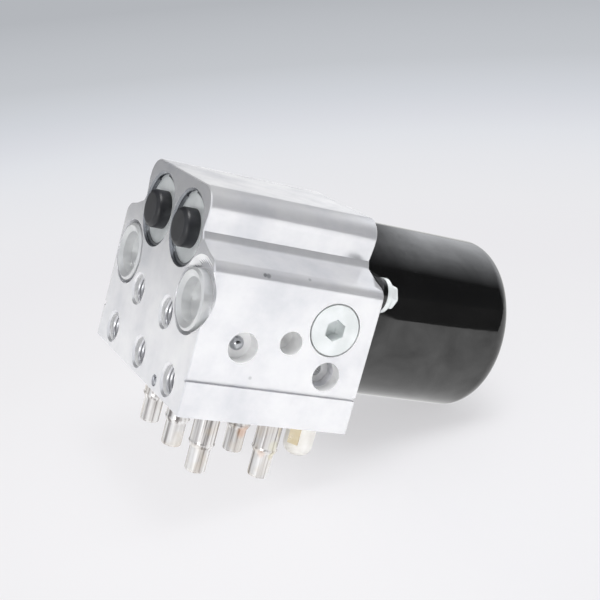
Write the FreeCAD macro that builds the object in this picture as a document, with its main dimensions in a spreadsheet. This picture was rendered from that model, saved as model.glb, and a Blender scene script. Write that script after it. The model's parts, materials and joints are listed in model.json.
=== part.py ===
import FreeCAD, Part
import os
import re
import Sketcher

# Anti-lock brake module: an extruded aluminium hydraulic block with its pump motor, two radial pump
# elements, two low pressure accumulators and six solenoid valve cartridges.
# Millimetres. The origin is the centre of the controller face, the flat underside of the block.
# +X runs along the motor axis from the port face to the motor, +Z points from the valve stems up to
# the accumulator hump, and -Y is the left side when one looks from the ports along the motor axis.

SIZES = [
    # Extruded block
    ("block_length", 75.0, "port face to motor face"),
    ("side_margin", 7.8, "motor bolt to side face"),
    ("shoulder_height", 60.2, "height of the shoulder at the side face"),
    ("shoulder_round", 5.0, "radius of the long shoulder edge"),
    ("shoulder_bend_inset", 8.8, "side face to where the shoulder starts to climb"),
    ("shoulder_bend_rise", 2.3, "rise of the shoulder to that bend"),
    ("valley_outset", 0.3, "foot of the hump outside its widest part"),
    ("valley_rise", 5.4, "rise from the shoulder to the foot of the hump"),
    ("valley_round", 2.0, "hollow radius at the foot of the hump"),
    ("waist_inset", 1.1, "waist of the hump inside its widest part"),
    ("waist_rise", 8.2, "rise from the shoulder to the waist"),
    ("flank_drop", 10.0, "top of the hump down to where its flank is upright"),
    ("hump_wall", 1.8, "wall between accumulator mouth and hump flank"),
    ("hump_roof", 3.7, "wall between accumulator mouth and hump top"),
    ("hump_round", 8.5, "radius of the two top edges"),
    ("end_chamfer", 0.4, "deburred edge round both end faces"),
    ("rail_groove_height", 14.0, "lower lip of the side rail groove"),
    ("rail_groove_width", 1.5, "mouth of the groove"),
    ("rail_groove_depth", 1.6, "depth of the groove"),
    ("rail_groove_taper", 0.15, "slope of each groove wall"),
    # Brake line ports
    ("port_radius", 6.0, "thread of a brake line port"),
    ("port_mouth_radius", 6.9, "countersink at the mouth"),
    ("port_mouth_depth", 0.9, "depth of the countersink"),
    ("port_depth", 13.0, "threaded depth"),
    ("port_seat_depth", 2.6, "cone of the pipe seat"),
    ("port_passage_radius", 1.9, "fluid passage behind the seat"),
    ("port_passage_depth", 19.0, "end of that passage from the port face"),
    ("inlet_spread", 16.6, "inlet port to centre plane"),
    ("inlet_height", 31.0, "inlet port axis"),
    ("inlet_passage_depth", 22.0, "inlet passage, far enough to meet the cross drilling"),
    ("outlet_inset", 16.6, "outer outlet port to side face"),
    ("outlet_height", 8.9, "outlet port axis"),
    ("bleed_spread", 22.0, "small plugged drilling to centre plane"),
    ("bleed_height", 4.3, "its height"),
    ("bleed_radius", 2.4, "its radius"),
    ("bleed_depth", 10.0, "its depth"),
    # Accumulators
    ("accumulator_web", 0.2, "web left between the two chamfered mouths"),
    ("accumulator_rise", 5.4, "accumulator axis above the shoulder"),
    ("accumulator_radius", 14.9, "accumulator bore"),
    ("accumulator_chamfer", 0.8, "width of the chamfer at the mouth"),
    ("accumulator_mouth_depth", 0.7, "depth of that chamfer"),
    ("accumulator_depth", 34.0, "depth of the bore"),
    ("ring_groove_start", 1.0, "front wall of the snap ring groove"),
    ("ring_width", 1.0, "wire width of the snap ring"),
    ("ring_groove_depth", 0.45, "snap ring groove below the bore wall"),
    ("ring_reach", 0.9, "snap ring inside the bore wall"),
    ("ring_gap_angle", 40.0, "opening of the snap ring"),
    ("cover_rim", 3.4, "length of the cover's rim"),
    ("cover_wall", 1.4, "wall of the cover"),
    ("cover_dish", 0.5, "how far the cover dips towards its neck"),
    ("cover_neck_radius", 4.6, "neck that carries the breather cap"),
    ("cover_neck_length", 4.4, "length of the neck"),
    ("breather_radius", 1.3, "breather hole through the neck"),
    ("cap_radius", 7.9, "rubber breather cap"),
    ("cap_length", 6.2, "length of the cap"),
    ("cap_roof", 1.6, "thickness of the cap's front"),
    ("cap_round", 1.9, "edge radius of the cap"),
    ("piston_length", 12.0, "length of the accumulator piston"),
    ("piston_wall", 2.4, "wall of the accumulator piston"),
    ("piston_head", 4.2, "thickness of its head"),
    ("piston_end_gap", 0.5, "gap between piston head and bore end at rest"),
    ("piston_travel", 9.0, "stroke of the accumulator piston"),
    ("seal_width", 2.2, "seal groove of the piston"),
    ("seal_depth", 1.5, "depth of that groove"),
    ("accumulator_spring_radius", 9.6, "mean radius of the accumulator spring"),
    ("accumulator_spring_wire", 0.9, "wire radius"),
    ("accumulator_spring_turns", 5.0, "turns"),
    # Damping chamber plugs in the port face
    ("damper_inset", 14.8, "plug to side face"),
    ("damper_height", 42.2, "plug axis"),
    ("damper_radius", 10.6, "threaded bore of the plug"),
    ("damper_depth", 22.0, "depth of the damping chamber"),
    ("damper_sink_taper", 1.1, "how much the sink widens to its mouth"),
    ("damper_sink_gap", 0.5, "gap round the plug head"),
    ("damper_sink_depth", 3.6, "depth of the sink"),
    ("relief_inset", 10.5, "cone relief beside the left plug to side face"),
    ("relief_height", 45.8, "axis of that relief"),
    ("relief_radius", 14.9, "mouth of the relief, which the side face cuts"),
    ("relief_floor", 10.4, "radius at the foot of the relief"),
    ("damper_head_rim", 1.7, "head of the plug outside its thread"),
    ("damper_head_bevel", 1.1, "bevel round the head"),
    ("damper_head_rise", 0.7, "height of the head's rim over the port face"),
    ("damper_rim_slope", 2.4, "slope from the rim in to the mouth of the recess"),
    ("damper_mouth_depth", 0.5, "mouth of the recess below the port face"),
    ("damper_recess_depth", 4.4, "floor of the recess below the port face"),
    ("damper_recess_draft", 0.2, "how much the recess narrows to its floor"),
    ("damper_plug_length", 13.0, "length of the plug behind its head"),
    # Pump
    ("axis_height", 42.0, "motor axis and pump axis"),
    ("pump_setback", 18.0, "pump axis to motor face"),
    ("pump_bore_radius", 8.0, "bore for the pump sleeve"),
    ("pump_plug_radius", 10.0, "threaded part of the pump plug"),
    ("pump_mouth_rim", 1.06, "counterbore round the plug head outside its thread"),
    ("pump_mouth_depth", 2.4, "depth of that counterbore"),
    ("pump_head_gap", 0.7, "ring gap between plug head and counterbore"),
    ("pump_plug_length", 13.6, "length of the pump plug"),
    ("pump_socket", 8.0, "hexagon across flats"),
    ("pump_socket_depth", 6.5, "depth of the hexagon"),
    ("sleeve_start", 15.2, "inner end of the pump sleeve from the axis"),
    ("sleeve_bore", 4.5, "bore of the pump sleeve"),
    ("pump_piston_length", 14.0, "length of the pump piston"),
    ("pump_spring_radius", 3.1, "mean radius of the pump spring"),
    ("pump_spring_wire", 0.6, "wire radius"),
    ("pump_spring_turns", 5.0, "turns"),
    ("cavity_radius", 13.5, "eccentric chamber"),
    ("cavity_beyond", 9.5, "chamber past the pump axis"),
    ("throw", 1.2, "eccentricity"),
    ("throw_clearance", 0.1, "gap between piston and eccentric at full throw"),
    # Motor
    ("shaft_radius", 4.0, "motor shaft"),
    ("journal_radius", 5.5, "eccentric journal"),
    ("eccentric_bearing_radius", 9.0, "needle bearing on the journal"),
    ("eccentric_width", 9.0, "width of the journal and its bearing"),
    ("end_bearing_radius", 7.0, "needle bearing in the block"),
    ("end_bearing_width", 7.0, "its width"),
    ("flange_bearing_radius", 11.0, "ball bearing in the motor flange"),
    ("flange_bearing_width", 7.0, "its width"),
    ("rear_bearing_radius", 8.0, "ball bearing in the can"),
    ("rear_bearing_width", 5.0, "its width"),
    ("motor_radius", 38.0, "outside of the can"),
    ("motor_length", 77.8, "motor face to end of the can"),
    ("can_wall", 1.8, "sheet of the can"),
    ("can_round", 8.0, "drawn edge of the can"),
    ("rear_boss_radius", 10.4, "bearing seat drawn in the can"),
    ("rear_boss_height", 3.2, "how far it stands out"),
    ("flange_thickness", 2.8, "motor flange plate"),
    ("flange_spigot", 4.0, "rim that centres the can"),
    ("flange_spigot_wall", 2.2, "wall of that rim"),
    ("bearing_seat_wall", 2.4, "wall round the flange bearing"),
    ("ear_radius", 6.9, "ear round a motor bolt"),
    ("bolt_gap", 0.74, "gap between bolt head and can"),
    ("bolt_angle", 20.04, "motor bolt off the horizontal, in degrees"),
    ("bolt_radius", 2.5, "thread of a motor bolt"),
    ("bolt_length", 12.0, "shank below the head"),
    ("bolt_flange_radius", 6.5, "flange of the bolt head"),
    ("bolt_flange_height", 1.5, "its height"),
    ("bolt_hex", 9.2, "hexagon across flats"),
    ("bolt_hex_height", 4.2, "its height"),
    ("seal_ring_radius", 21.0, "mean radius of the motor seal ring"),
    ("seal_ring_width", 2.4, "width of its groove"),
    ("seal_ring_depth", 1.8, "depth of its groove"),
    ("core_start", 24.0, "armature core from the motor face"),
    ("commutator_inset", 5.8, "rear end of the commutator to the end of the can"),
    ("commutator_gap", 1.0, "coil end to commutator"),
    ("core_slots", 12, "slots of the armature"),
    ("slot_depth", 10.0, "depth of a slot"),
    ("slot_width", 4.0, "width of a slot"),
    ("winding_overhang", 7.0, "coil ends past the core"),
    ("winding_inset", 3.3, "outside of the coil ends below the core"),
    ("winding_inner", 12.0, "inside of the coil ends"),
    ("winding_round", 2.0, "bevel of the coil ends"),
    ("magnet_wall", 5.2, "thickness of a magnet shell"),
    ("magnet_overhang", 3.0, "magnet shell past each end of the core"),
    ("magnet_angle", 132.0, "arc of a magnet shell"),
    ("air_gap", 1.1, "magnet to armature"),
    ("commutator_radius", 10.5, "commutator"),
    ("commutator_length", 8.0, "its length"),
    ("brush_plate_thickness", 2.4, "brush holder plate"),
    ("brush_width", 6.0, "brush across"),
    ("brush_thickness", 5.0, "brush along the shaft"),
    ("brush_length", 12.0, "brush, radially"),
    ("brush_box_wall", 1.2, "wall of a brush box"),
    # Valve cartridges
    ("valve_first", 24.5, "first valve pair from the port face"),
    ("valve_pitch_x", 28.8, "pitch along the motor axis"),
    ("valve_pitch_y", 27.5, "pitch across the block"),
    ("valve_drop", 29.8, "stem below the controller face"),
    ("valve_collar_radius", 6.0, "collar at the controller face"),
    ("valve_collar_height", 1.8, "its height"),
    ("valve_seat_depth", 0.6, "how deep the collar sits in the mouth of its bore"),
    ("valve_body_radius", 5.2, "upper part of the stem"),
    ("valve_bead_radius", 5.45, "weld bead at the step"),
    ("valve_bead_height", 1.5, "its height"),
    ("valve_step", 17.8, "depth of the step below the controller face"),
    ("valve_cone", 1.5, "height of the step's cone"),
    ("valve_tip_radius", 4.35, "lower part of the stem"),
    ("valve_tip_round", 1.3, "edge of the closed end"),
    ("valve_wall", 0.8, "wall of the closed end"),
    ("valve_bore_radius", 3.5, "bore for the plunger"),
    ("valve_insert", 8.0, "how far the sleeve reaches into the block"),
    ("valve_bore_depth", 20.5, "valve bore in the block"),
    ("core_reach", 10.5, "pole core below the controller face"),
    ("pin_radius", 1.2, "push pin of the plunger"),
    ("pin_clearance", 0.15, "gap round the push pin"),
    ("seat_radius", 0.6, "fluid hole in the seat"),
    ("plunger_gap", 0.6, "plunger to pole core"),
    ("plunger_end_gap", 0.5, "plunger to closed end"),
    ("valve_travel", 0.4, "stroke of a plunger"),
    # Drillings and threads in the side faces
    ("cross_x", 19.6, "cross drilling from the port face"),
    ("cross_height", 30.0, "its height"),
    ("cross_mouth_radius", 6.2, "counterbore of the cross drilling"),
    ("cross_mouth_depth", 6.4, "its depth"),
    ("cross_radius", 2.9, "cross drilling"),
    ("dowel_x", 39.4, "locating hole from the port face"),
    ("dowel_height", 34.4, "its height"),
    ("dowel_radius", 4.8, "its radius"),
    ("dowel_depth", 9.0, "its depth"),
    ("dowel_tip", 2.4, "drill point"),
    ("mount_x", 58.5, "mounting thread from the port face"),
    ("mount_height", 22.8, "its height"),
    ("mount_radius", 6.0, "its thread"),
    ("mount_depth", 9.6, "threaded depth"),
    ("mount_pilot_radius", 2.8, "pilot hole behind the thread"),
    ("mount_pilot_depth", 15.0, "its end"),
    ("ball_clearance", 0.02, "sealing ball in its drilling"),
    # Controller face
    ("screw_inset_x", 6.6, "controller screw from the port face and the motor face"),
    ("screw_inset_y", 5.7, "controller screw from the side face"),
    ("screw_radius", 2.1, "thread of a controller screw"),
    ("screw_depth", 11.0, "its depth"),
    ("post_setback", 8.2, "connector post to motor face"),
    ("post_spread", 30.0, "connector post to centre plane"),
    ("post_radius", 6.2, "connector post"),
    ("post_turn", 38.0, "turn of the post and its terminals, in degrees"),
    ("post_drop", 17.6, "post below the controller face"),
    ("post_round", 4.8, "rounded end of the post"),
    ("post_insert", 4.0, "how far the post reaches into the block"),
    ("post_foot_radius", 7.0, "foot of the post"),
    ("post_foot_height", 2.6, "its height"),
    ("post_seat_depth", 0.6, "how deep the foot sits in its mouth"),
    ("terminal_width", 4.6, "brass terminal"),
    ("terminal_thickness", 0.9, "its thickness"),
    ("terminal_length", 9.5, "its length"),
    ("terminal_proud", 0.35, "how far it stands out of the post"),
    # Fits
    ("press_gap", 0.02, "radial gap drawn for a pressed or screwed piece"),
    ("running_gap", 0.06, "radial gap of a running fit"),
    ("face_gap", 0.05, "end gap between neighbours"),
]

doc = FreeCAD.newDocument("AbsBrakeModule")
sheet = doc.addObject("Spreadsheet::Sheet", "Dims")
for row, (alias, number, meaning) in enumerate(SIZES, start=1):
    sheet.set(f"A{row}", alias)
    sheet.set(f"B{row}", str(number))
    sheet.set(f"C{row}", meaning)
    sheet.setAlias(f"B{row}", alias)
doc.recompute()

ALIASES = {alias for alias, number, meaning in SIZES}
nodes = []


def tied(expression):
    """The expression with every size name pointing at its cell in the sheet."""
    return re.sub(r"[a-z_]+[a-z0-9_]*", lambda word: _cell(word.group()), expression)


def _cell(word):
    return f"Dims.{word}" if word in ALIASES else word


def origin_plane(body, role):
    return next(item for item in body.Origin.OriginFeatures if item.Role == role)


def new_body(label, x="0", y="0", z="0"):
    """A body whose own frame sits at x, y, z of the module."""
    body = doc.addObject("PartDesign::Body", label)
    body.Label = label
    for axis, place in zip("xyz", (x, y, z)):
        body.setExpression(f"Placement.Base.{axis}", tied(place))
    return body


def node(body):
    """Mark a finished piece for export."""
    nodes.append(body)
    return body


def new_sketch(body, name, plane, right="0", up="0", out="0"):
    """A sketch on one of the body's planes, shifted in the plane and off it."""
    sketch = body.newObject("Sketcher::SketchObject", name)
    sketch.AttachmentSupport = (origin_plane(body, plane), [""])
    sketch.MapMode = "FlatFace"
    for axis, shift in zip("xyz", (right, up, out)):
        sketch.setExpression(f"AttachmentOffset.Base.{axis}", tied(shift))
    return sketch


def pin_point(sketch, geometry, point, across, upward):
    """Hold one point of the sketch at two tied distances from its origin."""
    for kind, expression in (("DistanceX", across), ("DistanceY", upward)):
        held = sketch.addConstraint(Sketcher.Constraint(kind, -1, 1, geometry, point, 1.0))
        sketch.setExpression(f"Constraints[{held}]", tied(expression))


def draw_outline(sketch, corners):
    """A closed outline of straight sides through the given corners."""
    first = sketch.GeometryCount
    count = len(corners)
    rough = [FreeCAD.Vector(index, index * index, 0) for index in range(count)]
    for index in range(count):
        sketch.addGeometry(Part.LineSegment(rough[index], rough[(index + 1) % count]), False)
    for index in range(count):
        following = first + (index + 1) % count
        sketch.addConstraint(Sketcher.Constraint("Coincident", first + index, 2, following, 1))
    for index, (across, upward) in enumerate(corners):
        pin_point(sketch, first + index, 1, across, upward)


def draw_circle(sketch, across, upward, radius):
    circle = sketch.addGeometry(Part.Circle(FreeCAD.Vector(0, 0, 0), FreeCAD.Vector(0, 0, 1), 1.0), False)
    pin_point(sketch, circle, 3, across, upward)
    held = sketch.addConstraint(Sketcher.Constraint("Radius", circle, 1.0))
    sketch.setExpression(f"Constraints[{held}]", tied(radius))


def draw_hexagon(sketch, flats, across="0", upward="0"):
    """A hexagon with two corners up and down, given by its width across flats."""
    half = f"({flats}) / 2"
    corner = f"({flats}) / 2 / cos(30)"
    waist = f"({flats}) / 2 * tan(30)"
    draw_outline(sketch, [
        (f"{across} + {half}", f"{upward} - {waist}"),
        (f"{across} + {half}", f"{upward} + {waist}"),
        (f"{across}", f"{upward} + {corner}"),
        (f"{across} - {half}", f"{upward} + {waist}"),
        (f"{across} - {half}", f"{upward} - {waist}"),
        (f"{across}", f"{upward} - {corner}"),
    ])


def feature(body, kind, name, sketch, **numbers):
    """Add a sketch based feature whose numbers are tied to the sheet."""
    made = body.newObject(f"PartDesign::{kind}", name)
    made.Profile = sketch
    for prop, expression in numbers.items():
        made.setExpression(prop, tied(expression))
    return made


def check_cut(body, made, before):
    """A cut has to take material away."""
    if body.Tip.Shape.Volume > before - 0.01:
        raise ValueError(f"{made.Label} of {body.Label} cuts nothing")


def pad(body, name, sketch, length, **settings):
    made = feature(body, "Pad", name, sketch, Length=length)
    for prop, value in settings.items():
        setattr(made, prop, value)
    doc.recompute()
    return made


def pocket(body, name, sketch, length, **settings):
    before = body.Tip.Shape.Volume
    made = feature(body, "Pocket", name, sketch, Length=length)
    for prop, value in settings.items():
        setattr(made, prop, value)
    doc.recompute()
    check_cut(body, made, before)
    return made


def lathe(body, name, along, corners, kind="Revolution", x="0", y="0", z="0", angle=360):
    """Turn an outline of (distance along the axis, radius) corners about an axis through x, y, z."""
    if along == "Y":
        sketch = new_sketch(body, f"{name}Outline", "YZ_Plane", y, z, x)
    else:
        sketch = new_sketch(body, f"{name}Outline", "XZ_Plane", x, z, f"-({y})")
    if along == "Z":
        corners = [(radius, distance) for distance, radius in corners]
    draw_outline(sketch, corners)
    before = body.Tip.Shape.Volume if kind == "Groove" else 0
    made = feature(body, kind, name, sketch)
    made.ReferenceAxis = (sketch, ["V_Axis" if along == "Z" else "H_Axis"])
    made.Angle = angle
    doc.recompute()
    if kind == "Groove":
        check_cut(body, made, before)
    return made


def bore(body, name, along, corners, x="0", y="0", z="0"):
    """Bore a stepped hole; its outline is closed along the hole's own axis."""
    outline = [(corners[0][0], "0")] + corners + [(corners[-1][0], "0")]
    return lathe(body, name, along, outline, "Groove", x, y, z)


def round_edges(body, name, radius, wanted, kind="Fillet"):
    """Fillet or chamfer the edges of the body for which wanted(edge) holds."""
    doc.recompute()
    base = body.Tip
    picked = [f"Edge{n}" for n, edge in enumerate(base.Shape.Edges, start=1) if wanted(edge)]
    if not picked:
        raise ValueError(f"no edge for {name} of {body.Label}")
    made = body.newObject(f"PartDesign::{kind}", name)
    made.Base = (base, picked)
    made.setExpression("Radius" if kind == "Fillet" else "Size", tied(radius))
    doc.recompute()
    return made


def circle_at(axis, distance, radius):
    """A test for a circular edge at a distance along an axis, with a radius."""
    def wanted(edge):
        if edge.Curve.TypeId != "Part::GeomCircle":
            return False
        centre = getattr(edge.Curve.Center, axis)
        return abs(centre - distance) < 0.01 and abs(edge.Curve.Radius - radius) < 0.01
    return wanted


def group(label, members):
    """Several identical pieces that share one node."""
    made = doc.addObject("Part::Compound", label)
    made.Label = label
    made.Links = members
    return node(made)


PORT_X = "(-block_length / 2)"
REAR_X = "(block_length / 2)"
PUMP_X = f"({REAR_X} - pump_setback)"
# The motor bolts lie on a circle outside the can, and the block is as wide as they need
BOLT_REACH = "(motor_radius + bolt_gap + bolt_flange_radius)"
BOLT_Y = f"({BOLT_REACH} * cos(bolt_angle))"
BOLT_Z = f"({BOLT_REACH} * sin(bolt_angle))"
SIDE_Y = f"({BOLT_Y} + side_margin)"
# The hump is drawn round the two accumulator bores
MOUTH = "(accumulator_radius + accumulator_chamfer)"
ACCUMULATOR_Y = f"({MOUTH} + accumulator_web / 2)"
ACCUMULATOR_Z = "(shoulder_height + accumulator_rise)"
HUMP_Y = f"({ACCUMULATOR_Y} + {MOUTH} + hump_wall)"
HUMP_Z = f"({ACCUMULATOR_Z} + {MOUTH} + hump_roof)"
OUTLET_Y = f"({SIDE_Y} - outlet_inset)"
DAMPER_Y = f"({SIDE_Y} - damper_inset)"
DAMPER_HEAD = "(damper_radius + damper_head_rim)"
DAMPER_RIM = f"({DAMPER_HEAD} - damper_head_bevel)"
DAMPER_RECESS = f"({DAMPER_RIM} - damper_rim_slope)"
PUMP_MOUTH = "(pump_plug_radius + pump_mouth_rim)"
COMMUTATOR_START = "(motor_length - commutator_inset - commutator_length)"
CORE_END = f"({COMMUTATOR_START} - commutator_gap - winding_overhang)"
CORE_LENGTH = f"({CORE_END} - core_start)"
CORE_RADIUS = "(motor_radius - can_wall - press_gap - magnet_wall - air_gap)"
WINDING_OUTER = f"({CORE_RADIUS} - winding_inset)"
BRUSH_MIDDLE = f"({COMMUTATOR_START} + commutator_length / 2)"
SIDES = (("left", "-", 1), ("right", "", -1))


def valve_places():
    """The six valves, numbered along the left row first."""
    for row, across in enumerate(("-valve_pitch_y", "0", "valve_pitch_y")):
        for column, along in enumerate(("0", "valve_pitch_x")):
            yield 2 * row + column + 1, f"{PORT_X} + valve_first + {along}", across


# Block

def block_profile():
    """Corners of the extrusion's section, once round from the lower right."""
    right = [
        (SIDE_Y, "0"),
        (SIDE_Y, "rail_groove_height"),
        (f"{SIDE_Y} - rail_groove_depth", "rail_groove_height + rail_groove_taper"),
        (f"{SIDE_Y} - rail_groove_depth",
         "rail_groove_height + rail_groove_width - rail_groove_taper"),
        (SIDE_Y, "rail_groove_height + rail_groove_width"),
        (SIDE_Y, "shoulder_height"),
        (f"{SIDE_Y} - shoulder_bend_inset", "shoulder_height + shoulder_bend_rise"),
        (f"{HUMP_Y} + valley_outset", "shoulder_height + valley_rise"),
        (f"{HUMP_Y} - waist_inset", "shoulder_height + waist_rise"),
        (HUMP_Y, f"{HUMP_Z} - flank_drop"),
        (HUMP_Y, HUMP_Z),
    ]
    left = [(f"-({across})", upward) for across, upward in reversed(right)]
    return right + left


def lengthwise(edge):
    """Whether an edge runs the length of the block."""
    start, finish = edge.Vertexes[0].Point, edge.Vertexes[-1].Point
    return abs(start.x - finish.x) > 1 and abs(start.y - finish.y) + abs(start.z - finish.z) < 0.01


def top_edge(shape):
    """A test for the lengthwise edges at the very top of a shape."""
    return lambda edge: lengthwise(edge) and edge.Vertexes[0].Point.z > shape.BoundBox.ZMax - 0.01


def shoulder_edge(shape):
    """A test for the highest lengthwise edge of each side face."""
    outer = shape.BoundBox.YMax - 0.01
    sides = [edge for edge in shape.Edges if lengthwise(edge) and abs(edge.Vertexes[0].Point.y) > outer]
    height = max(edge.Vertexes[0].Point.z for edge in sides)
    return lambda edge: (lengthwise(edge) and abs(edge.Vertexes[0].Point.y) > outer
                         and edge.Vertexes[0].Point.z > height - 0.01)


def valley_edge(shape):
    """A test for the hollow edge at the foot of the hump on each side."""
    foot = sheet.shoulder_height + sheet.valley_rise
    return lambda edge: lengthwise(edge) and abs(edge.Vertexes[0].Point.z - foot) < 0.01


def end_edge(shape):
    """A test for the edges that lie in an end face."""
    ends = (shape.BoundBox.XMin, shape.BoundBox.XMax)
    return lambda edge: any(all(abs(vertex.Point.x - end) < 0.01 for vertex in edge.Vertexes)
                            for end in ends)


def make_block():
    block = new_body("hydraulic_block")
    section = new_sketch(block, "Section", "YZ_Plane", out=PORT_X)
    draw_outline(section, block_profile())
    pad(block, "Extrusion", section, "block_length")
    round_edges(block, "HumpRounds", "hump_round", top_edge(block.Tip.Shape))
    round_edges(block, "ShoulderRounds", "shoulder_round", shoulder_edge(block.Tip.Shape))
    round_edges(block, "ValleyRounds", "valley_round", valley_edge(block.Tip.Shape))
    round_edges(block, "EndChamfers", "end_chamfer", end_edge(block.Tip.Shape), "Chamfer")
    bore_ports(block)
    bore_accumulators(block)
    bore_dampers(block)
    bore_pump(block)
    bore_valves(block)
    bore_sides(block)
    bore_controller_face(block)
    bore_motor_face(block)
    return node(block)


def port_outline(passage_depth):
    return [("0", "port_mouth_radius"), ("port_mouth_depth", "port_radius"),
            ("port_depth", "port_radius"),
            ("port_depth + port_seat_depth", "port_passage_radius"),
            (passage_depth, "port_passage_radius")]


def bore_ports(block):
    for side, sign, facing in SIDES:
        bore(block, f"InletPort_{side}", "X", port_outline("inlet_passage_depth"),
             PORT_X, f"{sign}inlet_spread", "inlet_height")
        bore(block, f"OutletPort_{side}", "X", port_outline("port_passage_depth"),
             PORT_X, f"{sign}{OUTLET_Y}", "outlet_height")
    bore(block, "OutletPort_middle", "X", port_outline("port_passage_depth"),
         PORT_X, "0", "outlet_height")
    bore(block, "BleedDrilling", "X", [("0", "bleed_radius"), ("bleed_depth", "bleed_radius")],
         PORT_X, "-bleed_spread", "bleed_height")


def bore_accumulators(block):
    groove = "accumulator_radius + ring_groove_depth"
    wall = [("0", MOUTH), ("accumulator_mouth_depth", "accumulator_radius"),
            ("ring_groove_start", "accumulator_radius"), ("ring_groove_start", groove),
            ("ring_groove_start + ring_width + face_gap", groove),
            ("ring_groove_start + ring_width + face_gap", "accumulator_radius"),
            ("accumulator_depth", "accumulator_radius")]
    for side, sign, facing in SIDES:
        bore(block, f"AccumulatorBore_{side}", "X", wall,
             PORT_X, f"{sign}{ACCUMULATOR_Y}", ACCUMULATOR_Z)


def bore_dampers(block):
    foot = f"{DAMPER_HEAD} + damper_sink_gap"
    wall = [("0", f"{foot} + damper_sink_taper"), ("damper_sink_depth", foot),
            ("damper_sink_depth", "damper_radius"), ("damper_depth", "damper_radius")]
    for side, sign, facing in SIDES:
        bore(block, f"DampingChamber_{side}", "X", wall,
             PORT_X, f"{sign}{DAMPER_Y}", "damper_height")
    bore(block, "Relief", "X", [("0", "relief_radius"), ("damper_sink_depth", "relief_floor")],
         PORT_X, f"-({SIDE_Y} - relief_inset)", "relief_height")


def bore_pump(block):
    """The eccentric chamber from the motor face and a pump bore from each side."""
    bore(block, "EccentricChamber", "X",
         [("0", "cavity_radius"), ("-(pump_setback + cavity_beyond)", "cavity_radius"),
          ("-(pump_setback + cavity_beyond)", "end_bearing_radius"),
          ("-(pump_setback + cavity_beyond + end_bearing_width)", "end_bearing_radius"),
          ("-(pump_setback + cavity_beyond + end_bearing_width)", "shaft_radius"),
          ("-(pump_setback + cavity_beyond + end_bearing_width + 1)", "shaft_radius")],
         REAR_X, "0", "axis_height")
    for side, sign, facing in SIDES:
        inward = "" if facing > 0 else "-"
        bore(block, f"PumpBore_{side}", "Y",
             [("0", PUMP_MOUTH), (f"{inward}pump_mouth_depth", PUMP_MOUTH),
              (f"{inward}pump_mouth_depth", "pump_plug_radius"),
              (f"{inward}pump_plug_length", "pump_plug_radius"),
              (f"{inward}pump_plug_length", "pump_bore_radius"),
              (f"{inward}({SIDE_Y} - cavity_radius / 2)", "pump_bore_radius")],
             PUMP_X, f"{sign}{SIDE_Y}", "axis_height")


def bore_valves(block):
    for number, along, across in valve_places():
        bore(block, f"ValveBore_{number}", "Z",
             [("0", "valve_collar_radius + press_gap"),
              ("valve_seat_depth", "valve_collar_radius + press_gap"),
              ("valve_seat_depth", "valve_body_radius + press_gap"),
              ("valve_bore_depth", "valve_body_radius + press_gap")], along, across, "0")


def bore_sides(block):
    """Cross drilling, locating hole and mounting thread, the same in both side faces."""
    for side, sign, facing in SIDES:
        inward = "" if facing > 0 else "-"
        face = f"{sign}{SIDE_Y}"
        bore(block, f"CrossDrilling_{side}", "Y",
             [("0", "cross_mouth_radius"), (f"{inward}cross_mouth_depth", "cross_mouth_radius"),
              (f"{inward}cross_mouth_depth", "cross_radius"),
              (f"{inward}({SIDE_Y} - inlet_spread)", "cross_radius")],
             f"{PORT_X} + cross_x", face, "cross_height")
        bore(block, f"LocatingHole_{side}", "Y",
             [("0", "dowel_radius"), (f"{inward}dowel_depth", "dowel_radius"),
              (f"{inward}(dowel_depth + dowel_tip)", "0.05")],
             f"{PORT_X} + dowel_x", face, "dowel_height")
        bore(block, f"MountingThread_{side}", "Y",
             [("0", "mount_radius"), (f"{inward}mount_depth", "mount_radius"),
              (f"{inward}mount_depth", "mount_pilot_radius"),
              (f"{inward}mount_pilot_depth", "mount_pilot_radius")],
             f"{PORT_X} + mount_x", face, "mount_height")


def bore_controller_face(block):
    """Four controller screws and the hole for the motor's connector post."""
    for end, place in (("front", f"{PORT_X} + screw_inset_x"), ("rear", f"{REAR_X} - screw_inset_x")):
        for side, sign, facing in SIDES:
            bore(block, f"ControllerScrew_{end}_{side}", "Z",
                 [("0", "screw_radius"), ("screw_depth", "screw_radius")],
                 place, f"{sign}({SIDE_Y} - screw_inset_y)", "0")
    bore(block, "PostHole", "Z",
         [("0", "post_foot_radius + press_gap"), ("post_seat_depth", "post_foot_radius + press_gap"),
          ("post_seat_depth", "post_radius + press_gap"), ("post_insert", "post_radius + press_gap")],
         f"{REAR_X} - post_setback", "-post_spread", "0")


def bolt_places():
    """The two motor bolts, one high on the left and one low on the right."""
    yield "left", f"-{BOLT_Y}", f"axis_height + {BOLT_Z}"
    yield "right", BOLT_Y, f"axis_height - {BOLT_Z}"


def bore_motor_face(block):
    for side, across, upward in bolt_places():
        bore(block, f"MotorBoltHole_{side}", "X",
             [("0", "bolt_radius + press_gap"),
              ("-(bolt_length - flange_thickness + face_gap)", "bolt_radius + press_gap")],
             REAR_X, across, upward)
    lathe(block, "SealGroove", "X",
          [("0", "seal_ring_radius - seal_ring_width / 2"), ("0", "seal_ring_radius + seal_ring_width / 2"),
           ("-seal_ring_depth", "seal_ring_radius + seal_ring_width / 2"),
           ("-seal_ring_depth", "seal_ring_radius - seal_ring_width / 2")],
          "Groove", REAR_X, "0", "axis_height")


# Accumulators

COVER_FRONT = "(ring_groove_start + ring_width + face_gap)"
PISTON_FRONT = "(accumulator_depth - piston_end_gap - piston_length)"


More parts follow.
